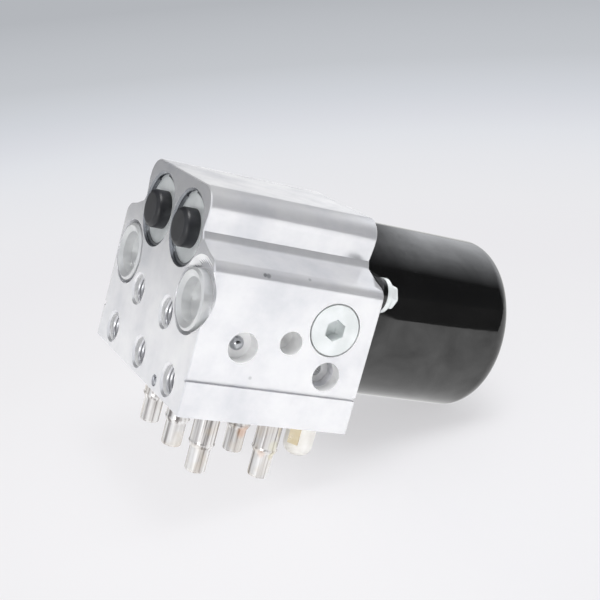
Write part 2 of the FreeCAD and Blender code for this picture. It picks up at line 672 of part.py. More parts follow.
def make_accumulator(side, sign):
    place = (PORT_X, f"{sign}{ACCUMULATOR_Y}", ACCUMULATOR_Z)
    bore_wall = "accumulator_radius"
    ring = new_body(f"accumulator_ring_{side}", *place)
    lathe(ring, "Ring", "X",
          [("ring_groove_start", f"{bore_wall} - ring_reach"),
           ("ring_groove_start + ring_width", f"{bore_wall} - ring_reach"),
           ("ring_groove_start + ring_width", f"{bore_wall} + ring_groove_depth - press_gap"),
           ("ring_groove_start", f"{bore_wall} + ring_groove_depth - press_gap")],
          angle=360 - sheet.ring_gap_angle)
    node(ring)

    cover = new_body(f"accumulator_cover_{side}", *place)
    lathe(cover, "Cover", "X", [
        (f"{COVER_FRONT}", "accumulator_radius - press_gap"),
        (f"{COVER_FRONT}", "accumulator_radius - press_gap - cover_wall"),
        (f"{COVER_FRONT} + cover_dish", "cap_radius"),
        (f"{COVER_FRONT} + cover_dish", "cover_neck_radius"),
        (f"{COVER_FRONT} + cover_dish - cover_neck_length", "cover_neck_radius"),
        (f"{COVER_FRONT} + cover_dish - cover_neck_length", "breather_radius"),
        (f"{COVER_FRONT} + cover_dish + cover_wall", "breather_radius"),
        (f"{COVER_FRONT} + cover_dish + cover_wall", "accumulator_radius - press_gap - cover_wall"),
        (f"{COVER_FRONT} + cover_rim", "accumulator_radius - press_gap - cover_wall"),
        (f"{COVER_FRONT} + cover_rim", "accumulator_radius - press_gap"),
    ])
    node(cover)

    cap = new_body(f"accumulator_cap_{side}", *place)
    back = f"{COVER_FRONT} + cover_dish"
    lathe(cap, "Cap", "X", [
        (back, "cover_neck_radius + press_gap"), (back, "cap_radius"),
        (f"{back} - cap_length", "cap_radius"), (f"{back} - cap_length", "0"),
        (f"{back} - cap_length + cap_roof", "0"),
        (f"{back} - cap_length + cap_roof", "cover_neck_radius + press_gap"),
    ])
    front = sheet.ring_groove_start + sheet.ring_width + sheet.face_gap + sheet.cover_dish
    round_edges(cap, "CapEdge", "cap_round", circle_at("x", front - sheet.cap_length, sheet.cap_radius))
    node(cap)

    piston = new_body(f"accumulator_piston_{side}", *place)
    skirt = "accumulator_radius - running_gap"
    lathe(piston, "Piston", "X", [
        (f"{PISTON_FRONT}", f"{skirt} - piston_wall"), (f"{PISTON_FRONT}", skirt),
        (f"{PISTON_FRONT} + piston_length - piston_head", skirt),
        (f"{PISTON_FRONT} + piston_length - piston_head", f"{skirt} - seal_depth"),
        (f"{PISTON_FRONT} + piston_length - piston_head + seal_width", f"{skirt} - seal_depth"),
        (f"{PISTON_FRONT} + piston_length - piston_head + seal_width", skirt),
        (f"{PISTON_FRONT} + piston_length", skirt), (f"{PISTON_FRONT} + piston_length", "0"),
        (f"{PISTON_FRONT} + piston_length - piston_head", "0"),
        (f"{PISTON_FRONT} + piston_length - piston_head", f"{skirt} - piston_wall"),
    ])
    node(piston)

    seal = new_body(f"accumulator_seal_{side}", *place)
    start = f"{PISTON_FRONT} + piston_length - piston_head"
    lathe(seal, "Seal", "X", [
        (f"{start} + face_gap", f"{skirt} - seal_depth + face_gap"),
        (f"{start} + face_gap", skirt),
        (f"{start} + seal_width - face_gap", skirt),
        (f"{start} + seal_width - face_gap", f"{skirt} - seal_depth + face_gap"),
    ])
    node(seal)

    spring_start = f"{COVER_FRONT} + cover_dish + cover_wall + accumulator_spring_wire + face_gap"
    spring_end = f"{PISTON_FRONT} + piston_length - piston_head - accumulator_spring_wire - face_gap"
    make_spring(f"accumulator_spring_{side}", "X", place, spring_start, spring_end,
                "accumulator_spring_radius", "accumulator_spring_wire", "accumulator_spring_turns")


def make_spring(label, along, place, start, end, radius, wire, turns, backwards=False):
    """A coil spring between two distances along an axis; backwards is towards the negative end."""
    spring = new_body(label, *place)
    plane = "YZ_Plane" if along == "Y" else "XZ_Plane"
    section = new_sketch(spring, "WireSection", plane)
    draw_circle(section, start, radius, wire)
    coil = spring.newObject("PartDesign::AdditiveHelix", "Coil")
    coil.Profile = section
    coil.ReferenceAxis = (section, ["H_Axis"])
    coil.Mode = "height-turns-angle"
    coil.setExpression("Height", tied(f"abs(({end}) - ({start}))"))
    coil.setExpression("Turns", tied(turns))
    coil.Reversed = backwards
    doc.recompute()
    return node(spring)


# Damping chamber plugs

def make_damper_plug(side, sign):
    plug = new_body(f"damper_plug_{side}", PORT_X, f"{sign}{DAMPER_Y}", "damper_height")
    lathe(plug, "Plug", "X", [
        ("damper_recess_depth", "0"),
        ("damper_recess_depth", f"{DAMPER_RECESS} - damper_recess_draft"),
        ("damper_mouth_depth", DAMPER_RECESS), ("-damper_head_rise", DAMPER_RIM),
        ("0", DAMPER_HEAD),
        ("damper_sink_depth", DAMPER_HEAD),
        ("damper_sink_depth", "damper_radius - press_gap"),
        ("damper_plug_length", "damper_radius - press_gap"), ("damper_plug_length", "0"),
    ])
    return node(plug)


# Pump elements

def make_pump_side(side, sign, facing):
    place = (PUMP_X, "0", "axis_height")
    plug = new_body(f"pump_plug_{side}", *place)
    inner = f"{SIDE_Y} - pump_plug_length"
    head = f"{PUMP_MOUTH} - pump_head_gap"
    lathe(plug, "Plug", "Y", [
        (f"{sign}{SIDE_Y}", "0"), (f"{sign}{SIDE_Y}", head),
        (f"{sign}({SIDE_Y} - pump_mouth_depth)", head),
        (f"{sign}({SIDE_Y} - pump_mouth_depth)", "pump_plug_radius - press_gap"),
        (f"{sign}({inner})", "pump_plug_radius - press_gap"), (f"{sign}({inner})", "0"),
    ])
    # Seen against its normal, the sketch plane's own up stays up, so the hexagon keeps its corners
    socket = new_sketch(plug, "SocketSection", "XZ_Plane", out=f"-({sign}{SIDE_Y})")
    draw_hexagon(socket, "pump_socket")
    pocket(plug, "Socket", socket, "pump_socket_depth", Reversed=facing < 0)
    node(plug)

    sleeve = new_body(f"pump_sleeve_{side}", *place)
    lathe(sleeve, "Sleeve", "Y", [
        (f"{sign}sleeve_start", "sleeve_bore"), (f"{sign}sleeve_start", "pump_bore_radius - press_gap"),
        (f"{sign}({inner} - face_gap)", "pump_bore_radius - press_gap"),
        (f"{sign}({inner} - face_gap)", "sleeve_bore"),
    ])
    node(sleeve)

    piston = new_body(f"pump_piston_{side}", *place)
    reach = "eccentric_bearing_radius + throw + throw_clearance"
    lathe(piston, "Piston", "Y", [
        (f"{sign}({reach})", "0"), (f"{sign}({reach})", "sleeve_bore - running_gap"),
        (f"{sign}({reach} + pump_piston_length)", "sleeve_bore - running_gap"),
        (f"{sign}({reach} + pump_piston_length)", "0"),
    ])
    node(piston)

    make_spring(f"pump_spring_{side}", "Y", place,
                f"{sign}({reach} + pump_piston_length + pump_spring_wire + face_gap)",
                f"{sign}({inner} - pump_spring_wire - face_gap)",
                "pump_spring_radius", "pump_spring_wire", "pump_spring_turns",
                backwards=sign == "-")


# Valve cartridges

def make_valve(number, along, across):
    place = (along, across, "0")
    sleeve = new_body(f"valve_sleeve_{number}", *place)
    lathe(sleeve, "Sleeve", "Z", [
        ("valve_insert", "valve_bore_radius"), ("valve_insert", "valve_body_radius"),
        ("valve_seat_depth", "valve_body_radius"), ("valve_seat_depth", "valve_collar_radius"),
        ("-valve_collar_height", "valve_collar_radius"), ("-valve_collar_height", "valve_body_radius"),
        ("-(valve_step - valve_bead_height)", "valve_body_radius"),
        ("-(valve_step - valve_bead_height * 2 / 3)", "valve_bead_radius"),
        ("-(valve_step - valve_bead_height / 3)", "valve_bead_radius"),
        ("-(valve_step + valve_cone)", "valve_tip_radius"),
        ("-valve_drop", "valve_tip_radius"), ("-valve_drop", "0"),
        ("-(valve_drop - valve_wall)", "0"), ("-(valve_drop - valve_wall)", "valve_bore_radius"),
    ])
    round_edges(sleeve, "TipEdge", "valve_tip_round",
                circle_at("z", -sheet.valve_drop, sheet.valve_tip_radius))
    node(sleeve)

    core = new_body(f"valve_core_{number}", *place)
    lathe(core, "Core", "Z", [
        ("-core_reach", "pin_radius + pin_clearance"), ("-core_reach", "valve_bore_radius - press_gap"),
        ("valve_insert + face_gap", "valve_bore_radius - press_gap"),
        ("valve_insert + face_gap", "valve_body_radius"),
        ("valve_bore_depth - 1", "valve_body_radius"), ("valve_bore_depth - 1", "seat_radius"),
        ("valve_insert + 3", "seat_radius"), ("valve_insert + 2", "pin_radius + pin_clearance"),
    ])
    node(core)

    plunger = new_body(f"valve_plunger_{number}", *place)
    lathe(plunger, "Plunger", "Z", [
        ("-(valve_drop - valve_wall - plunger_end_gap)", "0"),
        ("-(valve_drop - valve_wall - plunger_end_gap)", "valve_bore_radius - running_gap"),
        ("-(core_reach + plunger_gap)", "valve_bore_radius - running_gap"),
        ("-(core_reach + plunger_gap)", "pin_radius"), ("valve_insert + 1", "pin_radius"),
        ("valve_insert + 1.8", "0"),
    ])
    node(plunger)


# Motor

def make_shaft():
    """Shaft with its eccentric journal, which is offset upwards by the throw at rest."""
    shaft = new_body("motor_shaft", PUMP_X, "0", "axis_height")
    front = "cavity_beyond + end_bearing_width"
    rear = "pump_setback + motor_length + rear_boss_height - can_wall - 0.6"
    lathe(shaft, "Shaft", "X", [(f"-({front})", "0"), (f"-({front})", "shaft_radius"),
                                (rear, "shaft_radius"), (rear, "0")])
    section = new_sketch(shaft, "JournalSection", "YZ_Plane", out="-eccentric_width / 2")
    draw_circle(section, "0", "throw", "journal_radius")
    pad(shaft, "Journal", section, "eccentric_width")
    return node(shaft)


def make_ring(label, start, width, outer, inner, z="axis_height"):
    """A plain ring on the motor axis, by its distance from the pump axis."""
    ring = new_body(label, PUMP_X, "0", z)
    lathe(ring, "Ring", "X", [(start, inner), (start, outer),
                              (f"{start} + {width}", outer), (f"{start} + {width}", inner)])
    return node(ring)


def make_bearings():
    make_ring("eccentric_bearing", "(-eccentric_width / 2)", "eccentric_width",
              "eccentric_bearing_radius", "(journal_radius + press_gap)", "axis_height + throw")
    make_ring("end_bearing", "(-(cavity_beyond + end_bearing_width) + face_gap)",
              "(end_bearing_width - face_gap)", "(end_bearing_radius - press_gap)",
              "(shaft_radius + running_gap)")
    make_ring("flange_bearing", "(pump_setback + flange_thickness)", "flange_bearing_width",
              "(flange_bearing_radius - press_gap)", "(shaft_radius + running_gap)")
    make_ring("rear_bearing",
              "(pump_setback + motor_length + rear_boss_height - can_wall - rear_bearing_width)",
              "(rear_bearing_width - face_gap)", "(rear_bearing_radius - press_gap)",
              "(shaft_radius + running_gap)")


def make_flange():
    """Stamped plate with two ears, a rim that centres the can and a seat for the ball bearing."""
    flange = new_body("motor_flange", REAR_X, "0", "axis_height")
    spigot = "motor_radius - can_wall - press_gap"
    seat = "flange_bearing_radius + bearing_seat_wall"
    lathe(flange, "Plate", "X", [
        ("0", "shaft_radius + 2"), ("0", "motor_radius"), ("flange_thickness", "motor_radius"),
        ("flange_thickness", spigot), ("flange_thickness + flange_spigot", spigot),
        ("flange_thickness + flange_spigot", f"{spigot} - flange_spigot_wall"),
        ("flange_thickness", f"{spigot} - flange_spigot_wall"), ("flange_thickness", seat),
        ("flange_thickness + flange_bearing_width", seat),
        ("flange_thickness + flange_bearing_width", "flange_bearing_radius"),
        ("flange_thickness", "flange_bearing_radius"), ("flange_thickness", "shaft_radius + 2"),
    ])
    for side, across, upward in (("left", f"-{BOLT_Y}", BOLT_Z), ("right", BOLT_Y, f"-{BOLT_Z}")):
        ear = new_sketch(flange, f"EarSection_{side}", "YZ_Plane")
        draw_ear(ear, across, upward)
        pad(flange, f"Ear_{side}", ear, "flange_thickness")
        tip = new_sketch(flange, f"EarTip_{side}", "YZ_Plane")
        draw_circle(tip, across, upward, "ear_radius")
        pad(flange, f"EarRound_{side}", tip, "flange_thickness")
        hole = new_sketch(flange, f"BoltHole_{side}", "YZ_Plane")
        draw_circle(hole, across, upward, "bolt_radius + press_gap")
        pocket(flange, f"Bolt_{side}", hole, "flange_thickness", Reversed=True)
    return node(flange)


def draw_ear(sketch, across, upward):
    """The ear's web: a four-sided patch that widens from the bolt towards the plate."""
    aside = f"ear_radius * ({upward}) / {BOLT_REACH}"
    over = f"ear_radius * ({across}) / {BOLT_REACH}"
    inner = "0.62"
    spread = "2.1"
    draw_outline(sketch, [
        (f"({across}) - {aside}", f"({upward}) + {over}"),
        (f"({across}) + {aside}", f"({upward}) - {over}"),
        (f"({across}) * {inner} + {spread} * {aside}", f"({upward}) * {inner} - {spread} * {over}"),
        (f"({across}) * {inner} - {spread} * {aside}", f"({upward}) * {inner} + {spread} * {over}"),
    ])


def make_can():
    can = new_body("motor_can", REAR_X, "0", "axis_height")
    inside = "motor_radius - can_wall"
    lathe(can, "Can", "X", [
        ("flange_thickness", inside), ("flange_thickness", "motor_radius"),
        ("motor_length", "motor_radius"), ("motor_length", "rear_boss_radius"),
        ("motor_length + rear_boss_height", "rear_boss_radius"),
        ("motor_length + rear_boss_height", "0"),
        ("motor_length + rear_boss_height - can_wall", "0"),
        ("motor_length + rear_boss_height - can_wall", "rear_bearing_radius"),
        ("motor_length - can_wall", "rear_bearing_radius"), ("motor_length - can_wall", inside),
    ])
    round_edges(can, "DrawnEdge", "can_round",
                circle_at("x", sheet.motor_length, sheet.motor_radius))
    round_edges(can, "DrawnEdgeInside", "can_round - can_wall",
                circle_at("x", sheet.motor_length - sheet.can_wall, sheet.motor_radius - sheet.can_wall))
    return node(can)


def make_bolts():
    bolts = []
    for side, across, upward in bolt_places():
        bolt = new_body(f"motor_bolt_{side}", f"{REAR_X} + flange_thickness", across, upward)
        lathe(bolt, "Shank", "X", [
            ("-bolt_length", "0"), ("-bolt_length", "bolt_radius"), ("0", "bolt_radius"),
            ("0", "bolt_flange_radius"), ("bolt_flange_height / 2", "bolt_flange_radius"),
            ("bolt_flange_height", "bolt_hex / 2"), ("bolt_flange_height", "0"),
        ])
        section = new_sketch(bolt, "HexSection", "YZ_Plane", out="bolt_flange_height")
        draw_hexagon(section, "bolt_hex")
        pad(bolt, "Hex", section, "bolt_hex_height")
        bolts.append(bolt)
    return group("motor_bolts", bolts)


def make_seal_ring():
    ring = new_body("motor_seal_ring", REAR_X, "0", "axis_height")
    lathe(ring, "Ring", "X", [
        ("-face_gap", "seal_ring_radius - seal_ring_width / 2 + face_gap"),
        ("-face_gap", "seal_ring_radius + seal_ring_width / 2 - face_gap"),
        ("-(seal_ring_depth - face_gap)", "seal_ring_radius + seal_ring_width / 2 - face_gap"),
        ("-(seal_ring_depth - face_gap)", "seal_ring_radius - seal_ring_width / 2 + face_gap"),
    ])
    return node(ring)


def make_magnets():
    """Two shells, above and below the armature."""
    outer = "motor_radius - can_wall - press_gap"
    start = "core_start - magnet_overhang"
    end = f"{CORE_END} + magnet_overhang"
    for name, sign in (("upper", ""), ("lower", "-")):
        magnet = new_body(f"magnet_{name}", REAR_X, "0", "axis_height")
        shell = lathe(magnet, "Shell", "X", [
            (start, f"{sign}({outer})"), (end, f"{sign}({outer})"),
            (end, f"{sign}({outer} - magnet_wall)"),
            (start, f"{sign}({outer} - magnet_wall)"),
        ], angle=sheet.magnet_angle)
        shell.Midplane = True
        doc.recompute()
        node(magnet)


def polar(body, name, pattern_of, count):
    """Repeat a feature round the motor axis."""
    pattern = body.newObject("PartDesign::PolarPattern", name)
    pattern.Originals = [pattern_of]
    pattern.Axis = (next(item for item in body.Origin.OriginFeatures if item.Role == "X_Axis"), [""])
    pattern.setExpression("Occurrences", tied(count))
    body.Tip = pattern
    doc.recompute()
    return pattern


def make_armature():
    core = new_body("armature_core", REAR_X, "0", "axis_height")
    end = CORE_END
    lathe(core, "Stack", "X", [
        ("core_start", "shaft_radius + press_gap"), ("core_start", CORE_RADIUS),
        (end, CORE_RADIUS), (end, "shaft_radius + press_gap"),
    ])
    slot = new_sketch(core, "SlotSection", "YZ_Plane", out="core_start")
    draw_slot(slot, f"{CORE_RADIUS} + 1", f"{CORE_RADIUS} - slot_depth", "slot_width / 2")
    cut = pocket(core, "Slot", slot, CORE_LENGTH, Reversed=True)
    polar(core, "Slots", cut, "core_slots")
    node(core)

    winding = new_body("armature_winding", REAR_X, "0", "axis_height")
    start = "core_start - winding_overhang - face_gap"
    lathe(winding, "CoilEndsFront", "X", [
        (start, "winding_inner"), (start, f"{WINDING_OUTER} - winding_round"),
        (f"{start} + winding_round", WINDING_OUTER), (f"{start} + winding_overhang", WINDING_OUTER),
        (f"{start} + winding_overhang", "winding_inner"),
    ])
    bar = new_sketch(winding, "BarSection", "YZ_Plane", out="core_start - face_gap - 1")
    draw_slot(bar, f"{WINDING_OUTER} - 1", f"{CORE_RADIUS} - slot_depth + face_gap",
              "slot_width / 2 - face_gap")
    bars = pad(winding, "Bar", bar, f"{CORE_LENGTH} + 2 * face_gap + 2")
    polar(winding, "Bars", bars, "core_slots")
    start = f"{end} + face_gap"
    lathe(winding, "CoilEndsRear", "X", [
        (start, "winding_inner"), (start, WINDING_OUTER),
        (f"{start} + winding_overhang - winding_round", WINDING_OUTER),
        (f"{start} + winding_overhang", f"{WINDING_OUTER} - winding_round"),
        (f"{start} + winding_overhang", "winding_inner"),
    ])
    node(winding)


def draw_slot(sketch, outer, inner, half):
    draw_outline(sketch, [(f"-({half})", inner), (half, inner), (half, outer), (f"-({half})", outer)])


def make_commutator():
    commutator = new_body("commutator", REAR_X, "0", "axis_height")
    lathe(commutator, "Body", "X", [
        (COMMUTATOR_START, "shaft_radius + press_gap"), (COMMUTATOR_START, "commutator_radius"),
        (f"{COMMUTATOR_START} + commutator_length", "commutator_radius"),
        (f"{COMMUTATOR_START} + commutator_length", "shaft_radius + press_gap"),
    ])
    slit = new_sketch(commutator, "SlitSection", "YZ_Plane", out=COMMUTATOR_START)
    draw_slot(slit, "commutator_radius + 1", "commutator_radius - 1.2", "0.35")
    cut = pocket(commutator, "Slit", slit, "commutator_length", Reversed=True)
    polar(commutator, "Slits", cut, "core_slots")
    return node(commutator)


def make_brushes():
    holder = new_body("brush_holder", REAR_X, "0", "axis_height")
    box = "brush_thickness + 2 * brush_box_wall"
    plate_start = f"{BRUSH_MIDDLE} + {box} / 2 - brush_plate_thickness"
    lathe(holder, "Plate", "X", [
        (f"({plate_start})", "commutator_radius + 1.5"),
        (f"({plate_start})", "motor_radius - can_wall - 3"),
        (f"({plate_start}) + brush_plate_thickness", "motor_radius - can_wall - 3"),
        (f"({plate_start}) + brush_plate_thickness", "commutator_radius + 1.5"),
    ])
    inner = "commutator_radius + 1.5"
    for side, sign in (("left", "-"), ("right", "")):
        outside = new_sketch(holder, f"BoxSection_{side}", "YZ_Plane", out=f"{BRUSH_MIDDLE} - ({box}) / 2")
        draw_box(outside, f"{sign}({inner} + brush_length / 2)", "brush_length / 2",
                 "brush_width / 2 + brush_box_wall")
        pad(holder, f"Box_{side}", outside, box)
        inside = new_sketch(holder, f"BoxInside_{side}", "YZ_Plane",
                            out=f"{BRUSH_MIDDLE} - brush_thickness / 2 - running_gap")
        draw_box(inside, f"{sign}({inner} + brush_length / 2)", "brush_length / 2 + 0.5",
                 "brush_width / 2 + running_gap")
        pocket(holder, f"Channel_{side}", inside, "brush_thickness + 2 * running_gap", Reversed=True)
    node(holder)
    brushes = []
    for side, sign in (("left", "-"), ("right", "")):
        brush = new_body(f"brush_{side}", REAR_X, "0", "axis_height")
        section = new_sketch(brush, "Section", "YZ_Plane", out=f"{BRUSH_MIDDLE} - brush_thickness / 2")
        draw_box(section, f"{sign}(commutator_radius + face_gap + brush_length / 2)", "brush_length / 2",
                 "brush_width / 2")
        pad(brush, "Carbon", section, "brush_thickness")
        brushes.append(brush)
    return group("brushes", brushes)


def draw_box(sketch, middle, half_length, half_width):
    draw_outline(sketch, [
        (f"{middle} - ({half_length})", f"-({half_width})"), (f"{middle} + ({half_length})", f"-({half_width})"),
        (f"{middle} + ({half_length})", half_width), (f"{middle} - ({half_length})", half_width),
    ])


# Connector post and sealing balls

def make_connector():
    place = (f"{REAR_X} - post_setback", "-post_spread", "0")
    post = new_body("connector_post", *place)
    post.setExpression("Placement.Rotation.Angle", tied("post_turn"))
    lathe(post, "Post", "Z", [
        ("post_insert - face_gap", "0"), ("post_insert - face_gap", "post_radius"),
        ("post_seat_depth", "post_radius"), ("post_seat_depth", "post_foot_radius"),
        ("-post_foot_height", "post_foot_radius"),
        ("-post_foot_height", "post_radius"), ("-post_drop", "post_radius"), ("-post_drop", "0"),
    ])
    for side, sign, reversed_cut in (("front", "-", False), ("rear", "", True)):
        slot = new_sketch(post, f"TerminalSlot_{side}", "YZ_Plane",
                          out=f"{sign}(post_radius - terminal_thickness)")
        draw_outline(slot, [
            ("-terminal_width / 2", "-post_foot_height"), ("-terminal_width / 2",
                                                           "-(post_foot_height + terminal_length)"),
            ("terminal_width / 2", "-(post_foot_height + terminal_length)"),
            ("terminal_width / 2", "-post_foot_height"),
        ])
        pocket(post, f"Slot_{side}", slot, "terminal_thickness + 1", Reversed=reversed_cut)
    round_edges(post, "PostEnd", "post_round", circle_at("z", -sheet.post_drop, sheet.post_radius))
    node(post)

    terminals = []
    for side, sign in (("front", "-"), ("rear", "")):
        blade = doc.addObject("Part::Box", f"terminal_{side}")
        blade.setExpression("Length", tied("terminal_thickness + terminal_proud - press_gap"))
        blade.setExpression("Width", tied("terminal_width - 2 * press_gap"))
        blade.setExpression("Height", tied("terminal_length - 2 * press_gap"))
        out = ("-(post_radius + terminal_proud)" if sign
               else "(post_radius - terminal_thickness + press_gap)")
        across = "(press_gap - terminal_width / 2)"
        blade.setExpression("Placement.Rotation.Angle", tied("post_turn"))
        blade.setExpression("Placement.Base.x", tied(
            f"{place[0]} + {out} * cos(post_turn) - {across} * sin(post_turn)"))
        blade.setExpression("Placement.Base.y", tied(
            f"{place[1]} + {out} * sin(post_turn) + {across} * cos(post_turn)"))
        blade.setExpression("Placement.Base.z", tied("-(post_foot_height + terminal_length) + press_gap"))
        terminals.append(blade)
    group("connector_terminals", terminals)


def make_sealing_balls():
    """Steel balls pressed into the cross drillings and the small drilling of the port face."""
    balls = []
    places = [(f"{side}", f"{PORT_X} + cross_x", f"{sign}({SIDE_Y} - cross_mouth_depth)",
               "cross_height", "cross_radius") for side, sign, facing in SIDES]
    places.append(("bleed", f"{PORT_X} + bleed_radius", "-bleed_spread", "bleed_height", "bleed_radius"))
    for name, x, y, z, radius in places:
        ball = doc.addObject("Part::Sphere", f"ball_{name}")
        ball.setExpression("Radius", tied(f"{radius} - ball_clearance"))
        for axis, place in zip("xyz", (x, y, z)):
            ball.setExpression(f"Placement.Base.{axis}", tied(place))
        balls.append(ball)
    group("sealing_balls", balls)


def export():
    doc.recompute()
    for item in doc.Objects:
        if "Invalid" in item.State or "Error" in item.State:
            raise ValueError(f"{item.Label} failed: {item.State}")
    os.makedirs("parts", exist_ok=True)
    for piece in nodes:
        if piece.Shape.isNull() or not piece.Shape.isValid():
            raise ValueError(f"{piece.Label} has no valid shape")
        piece.Shape.exportStep(f"parts/{piece.Label}.step")
        print(f"{piece.Label}: {len(piece.Shape.Solids)} solid, {piece.Shape.Volume:.0f} mm3")


make_block()
for side, sign, facing in SIDES:
    make_accumulator(side, sign)
    make_damper_plug(side, sign)
    make_pump_side(side, sign, facing)
for number, along, across in valve_places():
    make_valve(number, along, across)
make_shaft()
make_bearings()
make_flange()
make_can()
make_bolts()
make_seal_ring()
make_magnets()
make_armature()
make_commutator()
make_brushes()
make_connector()
make_sealing_balls()
export()
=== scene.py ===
# %% [markdown]
# # A brake control module on a white table
# The object is the hydraulic part of an anti-lock brake: a block cut from an aluminium extrusion,
# with a black pump motor screwed to one end, two rubber caps and five threaded brake line ports at
# the other, and the steel stems of its solenoid valves hanging under it. It lies on the table on
# its stems and on the motor's far edge, which is why the block leans over.
#
# The measured model of every part comes first. It fixes all sizes and places, and this lesson only
# adds finishes and the details that are finer than that model.

# %% Load the measured model
import json
import math

import bmesh
import bpy
from mathutils import Matrix, Vector


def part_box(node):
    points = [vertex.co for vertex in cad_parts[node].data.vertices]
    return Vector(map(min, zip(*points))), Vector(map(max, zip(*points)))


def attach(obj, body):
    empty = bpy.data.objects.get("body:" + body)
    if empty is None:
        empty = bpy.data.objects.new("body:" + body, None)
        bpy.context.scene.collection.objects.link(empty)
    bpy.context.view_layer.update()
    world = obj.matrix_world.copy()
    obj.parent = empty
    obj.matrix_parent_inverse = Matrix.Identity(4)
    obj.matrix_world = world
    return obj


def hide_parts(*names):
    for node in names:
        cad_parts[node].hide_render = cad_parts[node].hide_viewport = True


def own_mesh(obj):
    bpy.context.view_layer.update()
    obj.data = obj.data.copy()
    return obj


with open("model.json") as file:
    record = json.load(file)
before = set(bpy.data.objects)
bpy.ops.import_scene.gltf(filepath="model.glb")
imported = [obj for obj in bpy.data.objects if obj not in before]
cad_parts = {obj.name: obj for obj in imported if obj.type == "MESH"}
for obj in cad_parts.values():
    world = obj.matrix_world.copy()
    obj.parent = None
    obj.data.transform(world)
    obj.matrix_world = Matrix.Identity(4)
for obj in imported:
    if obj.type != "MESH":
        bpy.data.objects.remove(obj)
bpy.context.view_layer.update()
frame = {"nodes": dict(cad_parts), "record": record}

MM = 0.001

# %% [markdown]
# ## The camera
# The photograph was taken with a short telephoto lens from the near side of the block, from a
# little above it and towards its port end. The camera leans a little, because the object doesn't
# lie level in its own frame. The three directions below are the camera's right, its up and the way
# it looks back towards the viewer, so together they are the camera's turn. An aimed camera with a
# track constraint would work too, but the lean would then need a second angle.

# %% Camera
SENSOR_WIDTH = 36.0
FOCAL_PIXELS = 1246.09
PICTURE_PIXELS = 600
camera_data = bpy.data.cameras.new("photo_camera")
camera_data.sensor_width = SENSOR_WIDTH
camera_data.lens = SENSOR_WIDTH * FOCAL_PIXELS / PICTURE_PIXELS
camera_data.clip_end = 20
camera = bpy.data.objects.new("photo_camera", camera_data)
bpy.context.scene.collection.objects.link(camera)
right = Vector((0.861, -0.436, 0.260)).normalized()
back = Vector((-0.488, -0.852, 0.187)).normalized()
up = back.cross(right).normalized()
right = up.cross(back)
turn = Matrix((right, up, back)).transposed().to_4x4()
camera.matrix_world = Matrix.Translation(Vector((-231.8, -455.9, 140.9)) * MM) @ turn
bpy.context.scene.camera = camera
print("lens", round(camera_data.lens, 1), "mm")

# %% [markdown]
# ## Small helpers for materials
# Colours are picked as the eye sees them, as hex values, while a renderer calculates with linear
# light, so one function turns the first into the second. Another adds a node, sets it up and plugs
# its inputs in one go, which keeps the materials below short enough to read. The others start an
# empty material and fill in the stops of a colour ramp.

# %% Colour and node helpers
def linear(hex_colour):
    """An sRGB hex value as linear red, green, blue and alpha."""
    values = [int(hex_colour[i:i + 2], 16) / 255 for i in (1, 3, 5)]
    return [v / 12.92 if v <= 0.04045 else ((v + 0.055) / 1.055) ** 2.4 for v in values] + [1.0]


def new_material(name):
    """An empty material and its tree of nodes."""
    made = bpy.data.materials.new(name)
    made.use_nodes = True
    made.node_tree.nodes.clear()
    return made, made.node_tree


def add_node(tree, kind, inputs=None, **settings):
    """One node, with its settings, and its inputs given as values or as other nodes' outputs."""
    node = tree.nodes.new(kind)
    for name, value in settings.items():
        setattr(node, name, value)
    for name, value in (inputs or {}).items():
        if isinstance(value, bpy.types.NodeSocket):
            tree.links.new(value, node.inputs[name])
        else:
            node.inputs[name].default_value = value
    return node


def set_stops(node, stops):
    """Colour ramp stops as (position, hex colour)."""
    ramp = node.color_ramp
    while len(ramp.elements) < len(stops):
        ramp.elements.new(1.0)
    for element, (position, colour) in zip(ramp.elements, stops):
        element.position = position
        element.color = linear(colour)


print("white is", [round(value, 3) for value in linear("#FFFFFF")])

# %% [markdown]
# ## The table
# The object stands on two of its valve stems and on the rear edge of the motor, so the table is a
# plane through those three, tilted by about 21 degrees in the object's frame. It could be a box
# with a thickness, but only its top is ever seen, so one grid is enough.

# %% Table
LEAN = math.radians(21.2)
TABLE_HALF_WIDTH = 6.0
table_up = Vector((-math.sin(LEAN), 0, math.cos(LEAN)))
table_spot = Vector((26.7, -45.8, -27.4)) * MM
sheet = bmesh.new()
bmesh.ops.create_grid(sheet, x_segments=8, y_segments=8, size=TABLE_HALF_WIDTH)
floor_mesh = bpy.data.meshes.new("table")
sheet.to_mesh(floor_mesh)
sheet.free()
floor = bpy.data.objects.new("table", floor_mesh)
floor.matrix_world = Matrix.Translation(table_spot) @ Matrix.Rotation(-LEAN, 4, "Y")
bpy.context.scene.collection.objects.link(floor)
print("table tilted by", round(math.degrees(LEAN), 1), "degrees")

# %% [markdown]
# ## What the camera sees of the table
# The table is a white that turns pale grey with distance, and that gradient is given to camera
# rays as a plain glow. A share of ordinary matte grey lies in it near the object and holds the soft
# contact shadow. A sheet without the glow would have to be lit far more strongly than the object
# to look this white.

